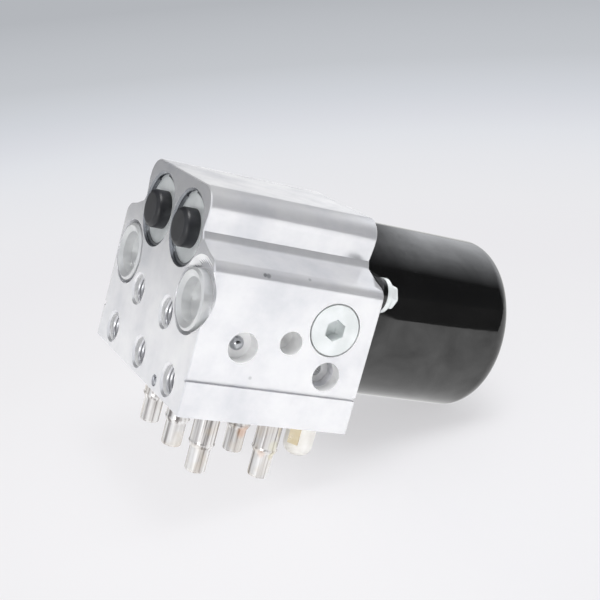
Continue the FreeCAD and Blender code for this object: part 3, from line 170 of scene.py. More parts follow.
# %% Table in the picture
FADE_REACH = 1.6
white_table, tree = new_material("white table")
place = add_node(tree, "ShaderNodeTexCoord")
away = add_node(tree, "ShaderNodeVectorMath", {0: place.outputs["Object"]}, operation="LENGTH")
fade = add_node(tree, "ShaderNodeMapRange", {
    "Value": away.outputs["Value"], "From Min": 0.0, "From Max": FADE_REACH})
tone = add_node(tree, "ShaderNodeValToRGB", {"Fac": fade.outputs["Result"]})
set_stops(tone, [
    (0.0, "#F7F6F8"), (0.06, "#F5F4F6"), (0.12, "#EFEEF0"), (0.20, "#EBEAED"), (0.27, "#E9E9EC"),
    (0.34, "#E5E6EA"), (0.39, "#E0E2E7"), (0.44, "#D9DBE1"), (0.50, "#D1D4DA"), (0.62, "#C4C7CC"),
    (1.0, "#B4B7BC")])
glow = add_node(tree, "ShaderNodeEmission", {"Color": tone.outputs["Color"], "Strength": 1.0})
# The shadow's share fades out 400 mm away, and it is larger under the motor than under the stems
close = add_node(tree, "ShaderNodeMapRange", {
    "Value": away.outputs["Value"], "From Min": 0.1, "From Max": 0.4, "To Min": 0.3, "To Max": 0.0})
side_of = add_node(tree, "ShaderNodeSeparateXYZ", {"Vector": place.outputs["Object"]})
under = add_node(tree, "ShaderNodeMapRange", {
    "Value": side_of.outputs["X"], "From Min": -0.01, "From Max": 0.04, "To Min": 0.5, "To Max": 1.35})
share = add_node(tree, "ShaderNodeMath", {0: close.outputs["Result"], 1: under.outputs["Result"]},
                 operation="MULTIPLY")
# The lamps are stronger than white needs, so the part that takes the shadow is a light grey
shaded = add_node(tree, "ShaderNodeBsdfDiffuse", {"Color": linear("#CBCBCD")})
seen = add_node(tree, "ShaderNodeMixShader", {
    "Fac": share.outputs["Value"], 1: glow.outputs["Emission"], 2: shaded.outputs["BSDF"]})
print("the table fades over", FADE_REACH, "m")

# %% [markdown]
# ## What the object sees of the table
# Polished metal shows the sheet it stands on, so reflections find a glowing white that dims a
# little with distance, and all other light meets a matte sheet and bounces off it. One sheet for
# both would do, but its glow would then light the object from below.

# %% Table in reflections
matte = add_node(tree, "ShaderNodeBsdfDiffuse", {"Color": tone.outputs["Color"]})
shine = add_node(tree, "ShaderNodeMapRange", {
    "Value": away.outputs["Value"], "From Min": 0.15, "From Max": 3.0, "To Min": 1.1, "To Max": 0.78})
mirrored = add_node(tree, "ShaderNodeEmission", {
    "Color": linear("#F8F8F8"), "Strength": shine.outputs["Result"]})
path = add_node(tree, "ShaderNodeLightPath")
others = add_node(tree, "ShaderNodeMixShader", {
    "Fac": path.outputs["Is Glossy Ray"], 1: matte.outputs["BSDF"], 2: mirrored.outputs["Emission"]})
final = add_node(tree, "ShaderNodeMixShader", {
    "Fac": path.outputs["Is Camera Ray"], 1: others.outputs["Shader"], 2: seen.outputs["Shader"]})
add_node(tree, "ShaderNodeOutputMaterial", {"Surface": final.outputs["Shader"]})
floor_mesh.materials.append(white_table)
print("table surface has", len(tree.nodes), "nodes")

# %% [markdown]
# ## A black card beside the motor
# The black motor has a dark band along its middle, between the pale table below and the light
# above. A photographer would stand a black card on the table next to it, just out of the picture,
# and so does this cell. The card shows in reflections only. Painting the band on the motor would
# slide wrongly as soon as the camera moves, while a reflection follows it.

# %% Black card
CARD_WIDTH, CARD_HEIGHT = 1.6, 0.17
CARD_START, CARD_BEHIND = 0.25, -0.3
black_card, tree = new_material("black card")
place = add_node(tree, "ShaderNodeTexCoord")
fibres = add_node(tree, "ShaderNodeTexNoise", {"Vector": place.outputs["Object"], "Scale": 400.0})
soot = add_node(tree, "ShaderNodeValToRGB", {"Fac": fibres.outputs["Fac"]})
set_stops(soot, [(0.3, "#595959"), (0.7, "#616161")])
paper = add_node(tree, "ShaderNodeEmission", {"Color": soot.outputs["Color"], "Strength": 1.0})
add_node(tree, "ShaderNodeOutputMaterial", {"Surface": paper.outputs["Emission"]})
board = bmesh.new()
bmesh.ops.create_grid(board, x_segments=1, y_segments=1, size=0.5)
bmesh.ops.scale(board, vec=(CARD_WIDTH, CARD_HEIGHT, 1.0), verts=board.verts)
bmesh.ops.rotate(board, cent=(0, 0, 0), matrix=Matrix.Rotation(math.pi / 2, 3, "X"), verts=board.verts)
bmesh.ops.translate(board, vec=(CARD_START + CARD_WIDTH / 2, CARD_BEHIND, CARD_HEIGHT / 2),
                    verts=board.verts)
card_mesh = bpy.data.meshes.new("card")
board.to_mesh(card_mesh)
board.free()
card_mesh.materials.append(black_card)
card = bpy.data.objects.new("card", card_mesh)
card.matrix_world = floor.matrix_world
card.visible_camera = card.visible_diffuse = card.visible_shadow = False
bpy.context.scene.collection.objects.link(card)
print("card", CARD_WIDTH, "by", CARD_HEIGHT, "m")

# %% [markdown]
# ## The room in reflections
# Polished things show their surroundings more than their own colour, so the world is painted by
# direction. Reflections find a dusky room with a broad window behind on the right and a pale wall
# on the far left. Real walls would do the same, but they would also shade the object.

# %% Room in reflections
world = bpy.data.worlds.new("studio")
bpy.context.scene.world = world
world.use_nodes = True
tree = world.node_tree
tree.nodes.clear()
way = add_node(tree, "ShaderNodeTexCoord")
height = add_node(tree, "ShaderNodeVectorMath", {0: way.outputs["Generated"], 1: table_up},
                  operation="DOT_PRODUCT")
ahead = add_node(tree, "ShaderNodeSeparateXYZ", {"Vector": way.outputs["Generated"]})
# The window gets brighter upwards and towards its far end, and it starts at a firm edge
lifted = add_node(tree, "ShaderNodeMapRange", {
    "Value": height.outputs["Value"], "From Min": -0.02, "From Max": 0.28, "To Min": 0.95, "To Max": 1.6})
inward = add_node(tree, "ShaderNodeMapRange", {
    "Value": ahead.outputs["Y"], "From Min": -0.28, "From Max": 0.33})
beside = add_node(tree, "ShaderNodeMapRange", {
    "Value": ahead.outputs["X"], "From Min": 0.52, "From Max": 0.56})
across = add_node(tree, "ShaderNodeMath", {0: inward.outputs["Result"], 1: beside.outputs["Result"]},
                  operation="MULTIPLY")
window = add_node(tree, "ShaderNodeMath", {0: lifted.outputs["Result"], 1: across.outputs["Value"]},
                  operation="MULTIPLY")
dusk = add_node(tree, "ShaderNodeMapRange", {
    "Value": height.outputs["Value"], "From Min": 0.0, "From Max": 0.4, "To Min": 0.11, "To Max": 0.05})
# The pale wall shows in bevels that face that way
wall = add_node(tree, "ShaderNodeMapRange", {
    "Value": ahead.outputs["X"], "From Min": -0.6, "From Max": -0.75, "To Max": 0.7})
lit = add_node(tree, "ShaderNodeMath", {0: window.outputs["Value"], 1: wall.outputs["Result"]},
               operation="ADD")
space = add_node(tree, "ShaderNodeMath", {0: lit.outputs["Value"], 1: dusk.outputs["Result"]},
                 operation="ADD")
reflected = add_node(tree, "ShaderNodeBackground", {
    "Color": linear("#F6F8FC"), "Strength": space.outputs["Value"]})
print("the room has", len(tree.nodes), "nodes")

# %% [markdown]
# ## Even light and backdrop
# Matte surfaces get an even white light that is stronger on the motor's side, as in the photograph,
# where that end of the block is the brighter one. The camera finds a pale grey backdrop. Both are
# mixed in by the kind of ray, because a backdrop as bright as the picture needs would otherwise
# light the object too.

# %% Even light and backdrop
slant = add_node(tree, "ShaderNodeMapRange", {
    "Value": ahead.outputs["X"], "From Min": -1.0, "From Max": 1.0, "To Min": 0.45, "To Max": 1.3})
even = add_node(tree, "ShaderNodeBackground", {
    "Color": linear("#F7F8FB"), "Strength": slant.outputs["Result"]})
camera_sky = add_node(tree, "ShaderNodeBackground", {"Color": linear("#D4D7DC"), "Strength": 1.0})
path = add_node(tree, "ShaderNodeLightPath")
soft = add_node(tree, "ShaderNodeMixShader", {
    "Fac": path.outputs["Is Glossy Ray"], 1: even.outputs["Background"], 2: reflected.outputs["Background"]})
whole = add_node(tree, "ShaderNodeMixShader", {
    "Fac": path.outputs["Is Camera Ray"], 1: soft.outputs["Shader"], 2: camera_sky.outputs["Background"]})
add_node(tree, "ShaderNodeOutputWorld", {"Surface": whole.outputs["Shader"]})
print("the world has", len(tree.nodes), "nodes")

# %% [markdown]
# ## Two lamps
# A soft box hangs over the object and shades its round parts from above. A weaker one stands low
# on the camera's side and lifts the port face. Larger lamps would blur their highlights away, and
# smaller ones would draw a hard shadow that the photograph hasn't got.

# %% Lamps
def softbox(name, place, aim, size, power):
    """A rectangular lamp at place, aimed at a point, both in millimetres."""
    lamp = bpy.data.lights.new(name, "AREA")
    lamp.shape = "RECTANGLE"
    lamp.size, lamp.size_y = size
    lamp.energy = power
    made = bpy.data.objects.new(name, lamp)
    place, aim = Vector(place) * MM, Vector(aim) * MM
    facing = (aim - place).to_track_quat("-Z", "Y").to_matrix().to_4x4()
    made.matrix_world = Matrix.Translation(place) @ facing
    bpy.context.scene.collection.objects.link(made)
    print(name, power, "W")


MIDDLE = (0, -20, 40)
softbox("overhead_box", (-110, -120, 900), MIDDLE, (0.45, 0.45), 6.4)
softbox("low_box", (-600, -600, 0), MIDDLE, (0.3, 0.3), 1.8)
bpy.context.scene.view_settings.view_transform = "Standard"

# %% [markdown]
# ## Spots and hazy metal
# Darker spots that paint the shade of small dents, and the heat stains, are small and stay where
# they are, so each is a patch of colour round one point of the object. Unwrapping the part to paint
# them would take longer and show no more. Used metal also scatters some light evenly, from pits and
# a thin film, on top of its reflection. A rougher metal alone would blur the reflection without
# making it milky, so a share of matte colour is mixed in.

# %% Spots and hazy metal
def with_spot(tree, place, under, hex_colour, centre, reach, share):
    """A colour under a spot, which has its full share up to reach in mm and none at twice that."""
    gap = add_node(tree, "ShaderNodeVectorMath", {0: place.outputs["Object"], 1: Vector(centre) * MM},
                   operation="DISTANCE")
    cover = add_node(tree, "ShaderNodeMapRange", {
        "Value": gap.outputs["Value"], "From Min": 2 * reach * MM, "From Max": reach * MM, "To Max": share})
    spot = add_node(tree, "ShaderNodeMix", {
        "Factor": cover.outputs["Result"], "A": under, "B": linear(hex_colour)}, data_type="RGBA")
    return spot.outputs["Result"]


def finish_metal(tree, colour, roughness, normal, haze):
    """End a material as a metal of which the share haze scatters its light evenly."""
    shine = add_node(tree, "ShaderNodeBsdfPrincipled", {
        "Base Color": colour, "Metallic": 1.0, "Roughness": roughness, "Normal": normal})
    scatter = add_node(tree, "ShaderNodeBsdfDiffuse", {"Color": colour, "Normal": normal})
    both = add_node(tree, "ShaderNodeMixShader", {
        "Fac": haze, 1: shine.outputs["BSDF"], 2: scatter.outputs["BSDF"]})
    add_node(tree, "ShaderNodeOutputMaterial", {"Surface": both.outputs["Shader"]})
    print("metal with", len(tree.nodes), "nodes and a haze of", haze)


# %% [markdown]
# ## Finishes
# ### Tumbled aluminium
# The block is sawn from an extruded bar of a wrought aluminium alloy, drilled and milled, and then
# tumbled with ceramic chips, which leaves a bright satin with faint clouds in it. It is a metal, so
# its colour tints the reflection and nothing else. Its roughness drifts from 0.16 to 0.23, which
# smears the reflection of the table's edge over a few degrees. The long sides keep drawing lines
# from the die, so a noise stretched along the bar bends the light there.

# %% Aluminium
tumbled_aluminium, tree = new_material("tumbled aluminium")
place = add_node(tree, "ShaderNodeTexCoord")
# Clouds about 20 mm wide, brighter where the chips have polished more
clouds = add_node(tree, "ShaderNodeTexNoise", {
    "Vector": place.outputs["Object"], "Scale": 45.0, "Detail": 5.0, "Roughness": 0.6})
cloud_tone = add_node(tree, "ShaderNodeValToRGB", {"Fac": clouds.outputs["Fac"]})
set_stops(cloud_tone, [(0.30, "#DCDDE1"), (0.55, "#EDEDEF"), (0.72, "#F4F4F4")])
dull = add_node(tree, "ShaderNodeMapRange", {
    "Value": clouds.outputs["Fac"], "From Min": 0.3, "From Max": 0.7, "To Min": 0.23, "To Max": 0.16})
# Centre, reach and share of darker spots: painted shade of three dents along the shoulder's edge, and a
# darker speck below them
DENT_SHADE_AND_SPECKS = [((-14.8, -49.6, 58.9), 0.6, 0.6), ((-16.3, -49.5, 59.0), 0.5, 0.75),
         ((3.3, -48.7, 60.0), 0.4, 0.4), ((-11.6, -50.3, 18.6), 0.45, 0.3)]
tint = cloud_tone.outputs["Color"]
# The dents' shade is painted over the clouds as a darker grey
for centre, reach, share in DENT_SHADE_AND_SPECKS:
    tint = with_spot(tree, place, tint, "#6E7074", centre, reach, share)
# Chip marks of the tumbling, about 0.4 mm wide
chips = add_node(tree, "ShaderNodeTexNoise", {
    "Vector": place.outputs["Object"], "Scale": 2600.0, "Detail": 2.0})
chip_bump = add_node(tree, "ShaderNodeBump", {
    "Height": chips.outputs["Fac"], "Strength": 0.10, "Distance": 0.00004})
# Drawing lines along the bar, about 0.4 mm apart
stretch = add_node(tree, "ShaderNodeMapping", {
    "Vector": place.outputs["Object"], "Scale": (14.0, 2400.0, 2400.0)})
lines = add_node(tree, "ShaderNodeTexNoise", {
    "Vector": stretch.outputs["Vector"], "Scale": 1.0, "Detail": 2.0})
line_bump = add_node(tree, "ShaderNodeBump", {
    "Height": lines.outputs["Fac"], "Strength": 0.12, "Distance": 0.00005,
    "Normal": chip_bump.outputs["Normal"]})
# The pits of the tumbling scatter a third of the light, so the metal looks milky rather than wet
finish_metal(tree, tint, dull.outputs["Result"], line_bump.outputs["Normal"], 0.33)

# %% [markdown]
# ### Black enamel
# The motor can is deep drawn from steel sheet and coated with glossy black enamel, a smooth film,
# so nearly everything seen on it is reflection. Dust that was wiped about dulls it in places. That
# dust could be a second, matte layer, but dimming the gloss in clouds looks the same and keeps one
# shader.

# %% Black enamel
black_enamel, tree = new_material("black enamel")
place = add_node(tree, "ShaderNodeTexCoord")
# The film is wavy every 4 mm, which bends the reflected edges a little
peel = add_node(tree, "ShaderNodeTexNoise", {
    "Vector": place.outputs["Object"], "Scale": 260.0, "Detail": 2.0})
peel_bump = add_node(tree, "ShaderNodeBump", {
    "Height": peel.outputs["Fac"], "Strength": 0.05, "Distance": 0.0002})
# Wiped dust in clouds of about 25 mm dims the shine and roughens it
dust = add_node(tree, "ShaderNodeTexNoise", {
    "Vector": place.outputs["Object"], "Scale": 42.0, "Detail": 6.0, "Roughness": 0.62, "Distortion": 0.4})
veil = add_node(tree, "ShaderNodeMapRange", {
    "Value": dust.outputs["Fac"], "From Min": 0.35, "From Max": 0.7, "To Min": 0.03, "To Max": 0.10})
sheen = add_node(tree, "ShaderNodeMapRange", {
    "Value": dust.outputs["Fac"], "From Min": 0.36, "From Max": 0.64, "To Min": 0.58, "To Max": 0.35})
# A few grains of dust, under a millimetre wide and 15 mm or more apart
grains = add_node(tree, "ShaderNodeTexVoronoi", {"Vector": place.outputs["Object"], "Scale": 65.0})
grain_tone = add_node(tree, "ShaderNodeValToRGB", {"Fac": grains.outputs["Distance"]})
set_stops(grain_tone, [(0.02, "#6E6C68"), (0.035, "#0A0A0A")])
# The index starts from 1.5, as enamel has, and is raised until the reflections are as strong
enamel = add_node(tree, "ShaderNodeBsdfPrincipled", {
    "Base Color": grain_tone.outputs["Color"], "Roughness": veil.outputs["Result"], "IOR": 1.75,
    "Specular IOR Level": sheen.outputs["Result"], "Normal": peel_bump.outputs["Normal"]})
add_node(tree, "ShaderNodeOutputMaterial", {"Surface": enamel.outputs["BSDF"]})
print("enamel with", len(tree.nodes), "nodes")

# %% [markdown]
# ### Moulded rubber
# The breather caps are compression moulded from black rubber. The mould leaves a fine satin skin,
# and wax that comes to the surface turns parts of it a little greyer. Both are noises of different
# size on one shader, since the skin is even otherwise.

# %% Moulded rubber
moulded_rubber, tree = new_material("moulded rubber")
place = add_node(tree, "ShaderNodeTexCoord")
# The mould's skin, in bumps of about 1 mm, breaks the highlight into a satin one
skin = add_node(tree, "ShaderNodeTexNoise", {
    "Vector": place.outputs["Object"], "Scale": 900.0, "Detail": 3.0})
skin_bump = add_node(tree, "ShaderNodeBump", {
    "Height": skin.outputs["Fac"], "Strength": 0.15, "Distance": 0.0001})
# The bloom of wax makes paler patches of about 6 mm
bloom = add_node(tree, "ShaderNodeTexNoise", {
    "Vector": place.outputs["Object"], "Scale": 160.0, "Detail": 4.0})
bloom_tone = add_node(tree, "ShaderNodeValToRGB", {"Fac": bloom.outputs["Fac"]})
set_stops(bloom_tone, [(0.35, "#1B1C1F"), (0.7, "#26272B")])
rubber = add_node(tree, "ShaderNodeBsdfPrincipled", {
    "Base Color": bloom_tone.outputs["Color"], "Roughness": 0.42, "Normal": skin_bump.outputs["Normal"]})
add_node(tree, "ShaderNodeOutputMaterial", {"Surface": rubber.outputs["BSDF"]})
print("rubber with", len(tree.nodes), "nodes")

# %% [markdown]
# ### Plated, turned and ground metals
# Plugs, rings and bolts are steel under bright zinc, the bores show the metal that the cutter left,
# and inside are ground, drawn and pressed metals. They differ in tone, roughness and haze and in
# little else: each drifts by a few percent over some 7 mm and has marks half a millimetre wide.
# So one function makes them all, where a separate tree for each would repeat it eleven times.

# %% Metals
def metal(name, low, high, smooth, rough, haze=0.0, depth=0.08):
    """A metal whose tone and roughness drift between two values, with marks of some depth."""
    made, tree = new_material(name)
    place = add_node(tree, "ShaderNodeTexCoord")
    drift = add_node(tree, "ShaderNodeTexNoise", {
        "Vector": place.outputs["Object"], "Scale": 140.0, "Detail": 4.0})
    drift_tone = add_node(tree, "ShaderNodeValToRGB", {"Fac": drift.outputs["Fac"]})
    set_stops(drift_tone, [(0.35, low), (0.68, high)])
    spread = add_node(tree, "ShaderNodeMapRange", {
        "Value": drift.outputs["Fac"], "From Min": 0.3, "From Max": 0.7, "To Min": rough, "To Max": smooth})
    marks = add_node(tree, "ShaderNodeTexNoise", {
        "Vector": place.outputs["Object"], "Scale": 1800.0, "Detail": 2.0})
    marks_bump = add_node(tree, "ShaderNodeBump", {
        "Height": marks.outputs["Fac"], "Strength": depth, "Distance": 0.00005})
    finish_metal(tree, drift_tone.outputs["Color"], spread.outputs["Result"],
                 marks_bump.outputs["Normal"], haze)
    return made


# Zinc crystals scatter most of the light, so the plating is a cool, milky white
zinc_plate = metal("bright zinc plate", "#E0E4E3", "#ECEFEF", 0.28, 0.36, haze=0.58, depth=0.04)
# Turned steel is a shade darker and shows more of the room
plug_steel = metal("turned plug steel", "#D6D7D7", "#E2E3E3", 0.3, 0.38, haze=0.4, depth=0.03)
# The deep bores get a darker tone, which paints the shade inside them, and a wet shine
bore_painted_shade = metal("turned bore, painted shade", "#84878C", "#A2A5AA", 0.2, 0.3, haze=0.15)
# Thread flanks are bright from the cutter, with soft highlights
cut_thread = metal("cut thread", "#CFD0D3", "#DEDEE1", 0.3, 0.38, haze=0.4, depth=0.02)
# Fine tool marks make bored aluminium nearly as white as paper
bored_aluminium = metal("bored aluminium", "#EAEAEA", "#F6F6F5", 0.3, 0.4, haze=0.7)
# Oiled spring wire is a dark grey with a soft shine
spring_wire = metal("oiled spring steel", "#6C6E72", "#8A8C90", 0.28, 0.4)
# Ground steel is the smoothest of them and mirrors the room
ground_steel = metal("ground steel", "#B4B6BA", "#CACCD0", 0.18, 0.28)
# A clear anodic skin turns aluminium a soft, even grey
anodised = metal("anodised aluminium", "#9A9DA2", "#B0B3B8", 0.3, 0.4)
# Lacquer over copper wire gives a deep reddish brown
copper_wire = metal("enamelled copper", "#8C4A28", "#B06A3C", 0.3, 0.4)
# Thin tin lets the brass through, so the blades are a pale straw colour
brass_plate = metal("tinned brass", "#D8C8A4", "#EADFC6", 0.25, 0.35, haze=0.4)
# Sintered ferrite is a dull charcoal with hardly any shine
sintered = metal("sintered ferrite", "#3A3A3C", "#4A4A4C", 0.6, 0.7)

# %% [markdown]
# ### Nickel plated stems
# The valve stems are thin tubes drawn from steel, plated with nickel and welded shut. Drawing leaves
# streaks along them, so this noise is stretched along the height, and it drifts between bright
# nickel and a greyer tone; these stripes are painted reflections of the tube as well as drawing
# streaks. Heat from the weld left a copper stain on one stem and straw-coloured ones on others,
# which are spots as the painted dent shade in the block is.

# %% Stem finish
nickel_stem, tree = new_material("nickel plate, drawn, with painted reflections")
place = add_node(tree, "ShaderNodeTexCoord")
# Streaks about 1.4 mm wide and 55 mm long, so each runs the whole length of a stem; their tones are painted
# reflections as well as drawing streaks
along = add_node(tree, "ShaderNodeMapping", {
    "Vector": place.outputs["Object"], "Scale": (700.0, 700.0, 18.0)})
streaks_and_painted_reflections = add_node(tree, "ShaderNodeTexNoise", {
    "Vector": along.outputs["Vector"], "Scale": 1.0, "Detail": 3.0})
# The ramp from dark grey to bright nickel paints the tube's lengthwise reflections as well as its drawing
# streaks
nickel_and_reflection_tone = add_node(tree, "ShaderNodeValToRGB", {"Fac": streaks_and_painted_reflections.outputs["Fac"]})
set_stops(nickel_and_reflection_tone, [(0.36, "#8E8A88"), (0.46, "#D2CFCD"), (0.62, "#F2F1F0")])
# Patches of about 8 mm are warmer, where the nickel has aged
patches = add_node(tree, "ShaderNodeTexNoise", {
    "Vector": place.outputs["Object"], "Scale": 120.0, "Detail": 2.0})
straw_share = add_node(tree, "ShaderNodeMapRange", {
    "Value": patches.outputs["Fac"], "From Min": 0.5, "From Max": 0.72, "To Max": 0.3})
tinted = add_node(tree, "ShaderNodeMix", {
    "Factor": straw_share.outputs["Result"], "A": nickel_and_reflection_tone.outputs["Color"], "B": linear("#D9C6A8")},
    data_type="RGBA")
# Centre, reach and colour of the heat stains
STAINS = [((17.0, -5.0, -19.6), 1.9, "#E3B08A"), ((12.4, -31.6, -18.9), 1.2, "#E2C6B2"),
          ((17.8, -32.2, -19.0), 1.3, "#DDD6B4"), ((17.0, -32.5, -14.5), 1.5, "#E4E0C8")]
STAIN_SHARE = 0.5
tint = tinted.outputs["Result"]
for centre, reach, stain in STAINS:
    tint = with_spot(tree, place, tint, stain, centre, reach, STAIN_SHARE)
streak_bump = add_node(tree, "ShaderNodeBump", {
    "Height": streaks_and_painted_reflections.outputs["Fac"], "Strength": 0.12, "Distance": 0.00005})
finish_metal(tree, tint, 0.24, streak_bump.outputs["Normal"], 0.3)

# %% [markdown]
# ### Plastics and carbon
# The connector post is natural nylon, which is ivory, and the brush holder is black nylon. Both
# come from a spark eroded mould, so their skin is a fine even grain. The brushes are carbon powder
# pressed under a similar grain. A mottled tone and a fine bump are all that they need, and one
# function makes the three.

# %% Plastics
def plastic(name, low, high, rough):
    """A moulded or pressed solid with a mottled tone and a fine grain."""
    made, tree = new_material(name)
    place = add_node(tree, "ShaderNodeTexCoord")
    drift = add_node(tree, "ShaderNodeTexNoise", {
        "Vector": place.outputs["Object"], "Scale": 200.0, "Detail": 4.0})
    tones = add_node(tree, "ShaderNodeValToRGB", {"Fac": drift.outputs["Fac"]})
    set_stops(tones, [(0.35, low), (0.68, high)])
    spark = add_node(tree, "ShaderNodeTexNoise", {
        "Vector": place.outputs["Object"], "Scale": 3000.0, "Detail": 1.0})
    spark_bump = add_node(tree, "ShaderNodeBump", {
        "Height": spark.outputs["Fac"], "Strength": 0.1, "Distance": 0.00005})
    shade = add_node(tree, "ShaderNodeBsdfPrincipled", {
        "Base Color": tones.outputs["Color"], "Roughness": rough, "Normal": spark_bump.outputs["Normal"]})
    add_node(tree, "ShaderNodeOutputMaterial", {"Surface": shade.outputs["BSDF"]})
    print(name, "with", len(tree.nodes), "nodes")
    return made


# Undyed nylon is a warm ivory with a soft sheen
ivory_nylon = plastic("natural nylon", "#E9E6DE", "#F6F4EF", 0.4)
# Carbon black in nylon leaves a neutral, slightly duller black
black_nylon = plastic("black nylon", "#161617", "#202022", 0.45)
# Pressed carbon is a matte dark grey
pressed_carbon = plastic("pressed carbon", "#1C1C1D", "#2A2A2B", 0.6)

# %% [markdown]
# ## Dressing the measured parts
# Every measured part gets the finish of the real one. The record of the model already says which
# part is made of what, so one table from its slots to the finishes above dresses all sixty parts.
# Choosing a material part by part would be open to slips.

# %% Finishes by part
FINISH_OF_SLOT = {
    "aluminium_block": tumbled_aluminium, "plated_steel": zinc_plate, "spring_steel": spring_wire,
    "ground_steel": ground_steel, "valve_steel": nickel_stem, "anodised_aluminium": anodised,
    "black_rubber": moulded_rubber, "black_paint": black_enamel, "ferrite": sintered,
    "lamination_steel": spring_wire, "copper": copper_wire, "brass": brass_plate,
    "carbon": pressed_carbon, "black_plastic": black_nylon, "ivory_plastic": ivory_nylon,
}
FINISH_OF_NODE = {"damper_plug_left": plug_steel, "damper_plug_right": plug_steel}
slot_of = {row["node"]: row["material_slot"] for row in frame["record"]["subparts"]}
body_of = {name: body for body, members in frame["record"]["behaviour"]["bodies"].items()
           for name in members}
for name, part in frame["nodes"].items():
    part.data.materials.clear()
    part.data.materials.append(FINISH_OF_SLOT[slot_of[name]])
print("dressed", len(slot_of), "parts")

# %% [markdown]
# ## A piece of its own
# A new mesh becomes a piece when it is linked, gets its material and rides on the body it moves with,
# and the measured parts that it stands for are hidden. Each of these could be written out for every
# piece, but one function can't forget any.

# %% Finished piece
def finish_piece(piece, mesh, material, body, replaced=()):
    """Wrap a mesh in an object at the origin that rides on a body and stands for nodes."""
    made = bpy.data.objects.new(piece, mesh)
    bpy.context.scene.collection.objects.link(made)
    mesh.materials.append(material)
    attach(made, body)
    if replaced:
        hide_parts(*replaced)
    print("made", piece, "with", len(mesh.polygons), "faces")
    return made


# %% [markdown]
# ## Smooth copies
# The measured meshes are made of loose triangles, which look faceted on a round, shiny face. So the
# parts that show are copied, their doubled points are merged, and the copy is shaded smooth except
# across real edges. Each normal is weighted by the size of its faces, so that flat faces stay flat.
# More triangles would help too, but the copy would then leave the measured shape.

# %% Smooth copies
SHARP_ANGLE = math.radians(28.0)
SAME_POINT = 1e-6


def smooth_copy(node, piece):
    """A merged, smooth-shaded copy of a measured part, which then stands for it."""
    merged = bmesh.new()
    merged.from_mesh(frame["nodes"][node].data)
    bmesh.ops.remove_doubles(merged, verts=merged.verts, dist=SAME_POINT)
    for face in merged.faces:
        face.smooth = True
    for edge in merged.edges:
        edge.smooth = not (len(edge.link_faces) == 2 and edge.calc_face_angle(0.0) > SHARP_ANGLE)
    mesh = bpy.data.meshes.new(piece)
    merged.to_mesh(mesh)
    merged.free()
    material = FINISH_OF_NODE.get(node, FINISH_OF_SLOT[slot_of[node]])
    made = finish_piece(piece, mesh, material, body_of[node], (node,))
    weigh = made.modifiers.new("even_normals", "WEIGHTED_NORMAL")
    weigh.keep_sharp = True
    return made


SMOOTHED = ["hydraulic_block", "motor_can", "motor_flange", "connector_post"]
for side in ("left", "right"):
    SMOOTHED += [f"accumulator_{part}_{side}" for part in ("ring", "cover", "cap")]
    SMOOTHED += [f"damper_plug_{side}", f"pump_plug_{side}"]
SMOOTHED += [f"valve_sleeve_{n}" for n in range(1, 7)]
for name in SMOOTHED:
    smooth_copy(name, f"{name}_dressed")
print("smoothed", len(SMOOTHED), "parts")

# %% [markdown]
# ## Accumulator springs
# A fluid surge pushes each accumulator piston towards its cover by up to 9 mm and shortens the coil
# spring between them. Here each spring is a smooth copy of the measured coil with a mesh of its own.

# %% Accumulator springs
for side in ("left", "right"):
    low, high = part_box(f"accumulator_spring_{side}")
    spring = smooth_copy(f"accumulator_spring_{side}", f"accumulator_spring_{side}_coil")
    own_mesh(spring)

# %% [markdown]
# ## The shaft's chamfered end
# A turned shaft has a small chamfer at its end, which leads it into the end bearing. The measured
# shaft is square there and its rim lies on the edge of the drilling behind it, so the rim's edges
# are bevelled. A bevel modifier would round the rest of the shaft's edges as well.

# %% Shaft end
CHAMFER = 0.3 * MM
shaft_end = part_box("motor_shaft")[0][0]
shaft = smooth_copy("motor_shaft", "motor_shaft_turned")
turned = bmesh.new()
turned.from_mesh(shaft.data)
rim = [edge for edge in turned.edges
       if all(abs(vert.co.x - shaft_end) < SAME_POINT for vert in edge.verts)
       and edge.calc_face_angle(0.0) > 1.0]
bmesh.ops.bevel(turned, geom=rim, offset=CHAMFER, segments=1, profile=0.5, affect="EDGES", material=-1)
turned.to_mesh(shaft.data)
turned.free()
print("bevelled", len(rim), "edges of the shaft's rim")

# %% [markdown]
# ## Bores of the block
# The accumulator bores are given a darker metal, which paints the shade inside them behind their
# covers, while the ports and the bores of the side faces are bare cut metal and scatter light back
# out. Both are zones of the block's own mesh, so they get a second and a third material by place. A
# liner in each bore would be another piece that isn't there on the real block.

# %% Metal inside the bores
# Slot 1 is the darker metal that paints shade in the accumulator bores, slot 2 is bare cut metal
SHADED_BORE, BARE = 1, 2
FRONT_FACE, SIDE_FACE, SKIN = -37.5, 50.3, 0.01
OTHER_AXES = {0: (1, 2), 1: (0, 2)}
PORTS = ((-16.6, 31.0), (16.6, 31.0), (-33.7, 8.9), (0.0, 8.9), (33.7, 8.9))
# Along X and up, with the reach: ball drilling, locating hole, mounting thread and pump bore
SIDE_BORES = ((-17.9, 30.0, 6.4), (1.9, 34.4, 5.0), (21.0, 22.8, 7.3), (19.5, 42.0, 14.0))
# The accumulator bores take the darker metal, whose tone paints their shade
# Metal, axis, middle on the other two axes, reach, and the span along the axis
zones = [(SHADED_BORE, 0, (side * 15.8, 65.6), 15.7, FRONT_FACE + 0.001, -17.5) for side in (-1, 1)]
zones += [(BARE, 0, port, 6.02, FRONT_FACE + SKIN, -24.0) for port in PORTS]
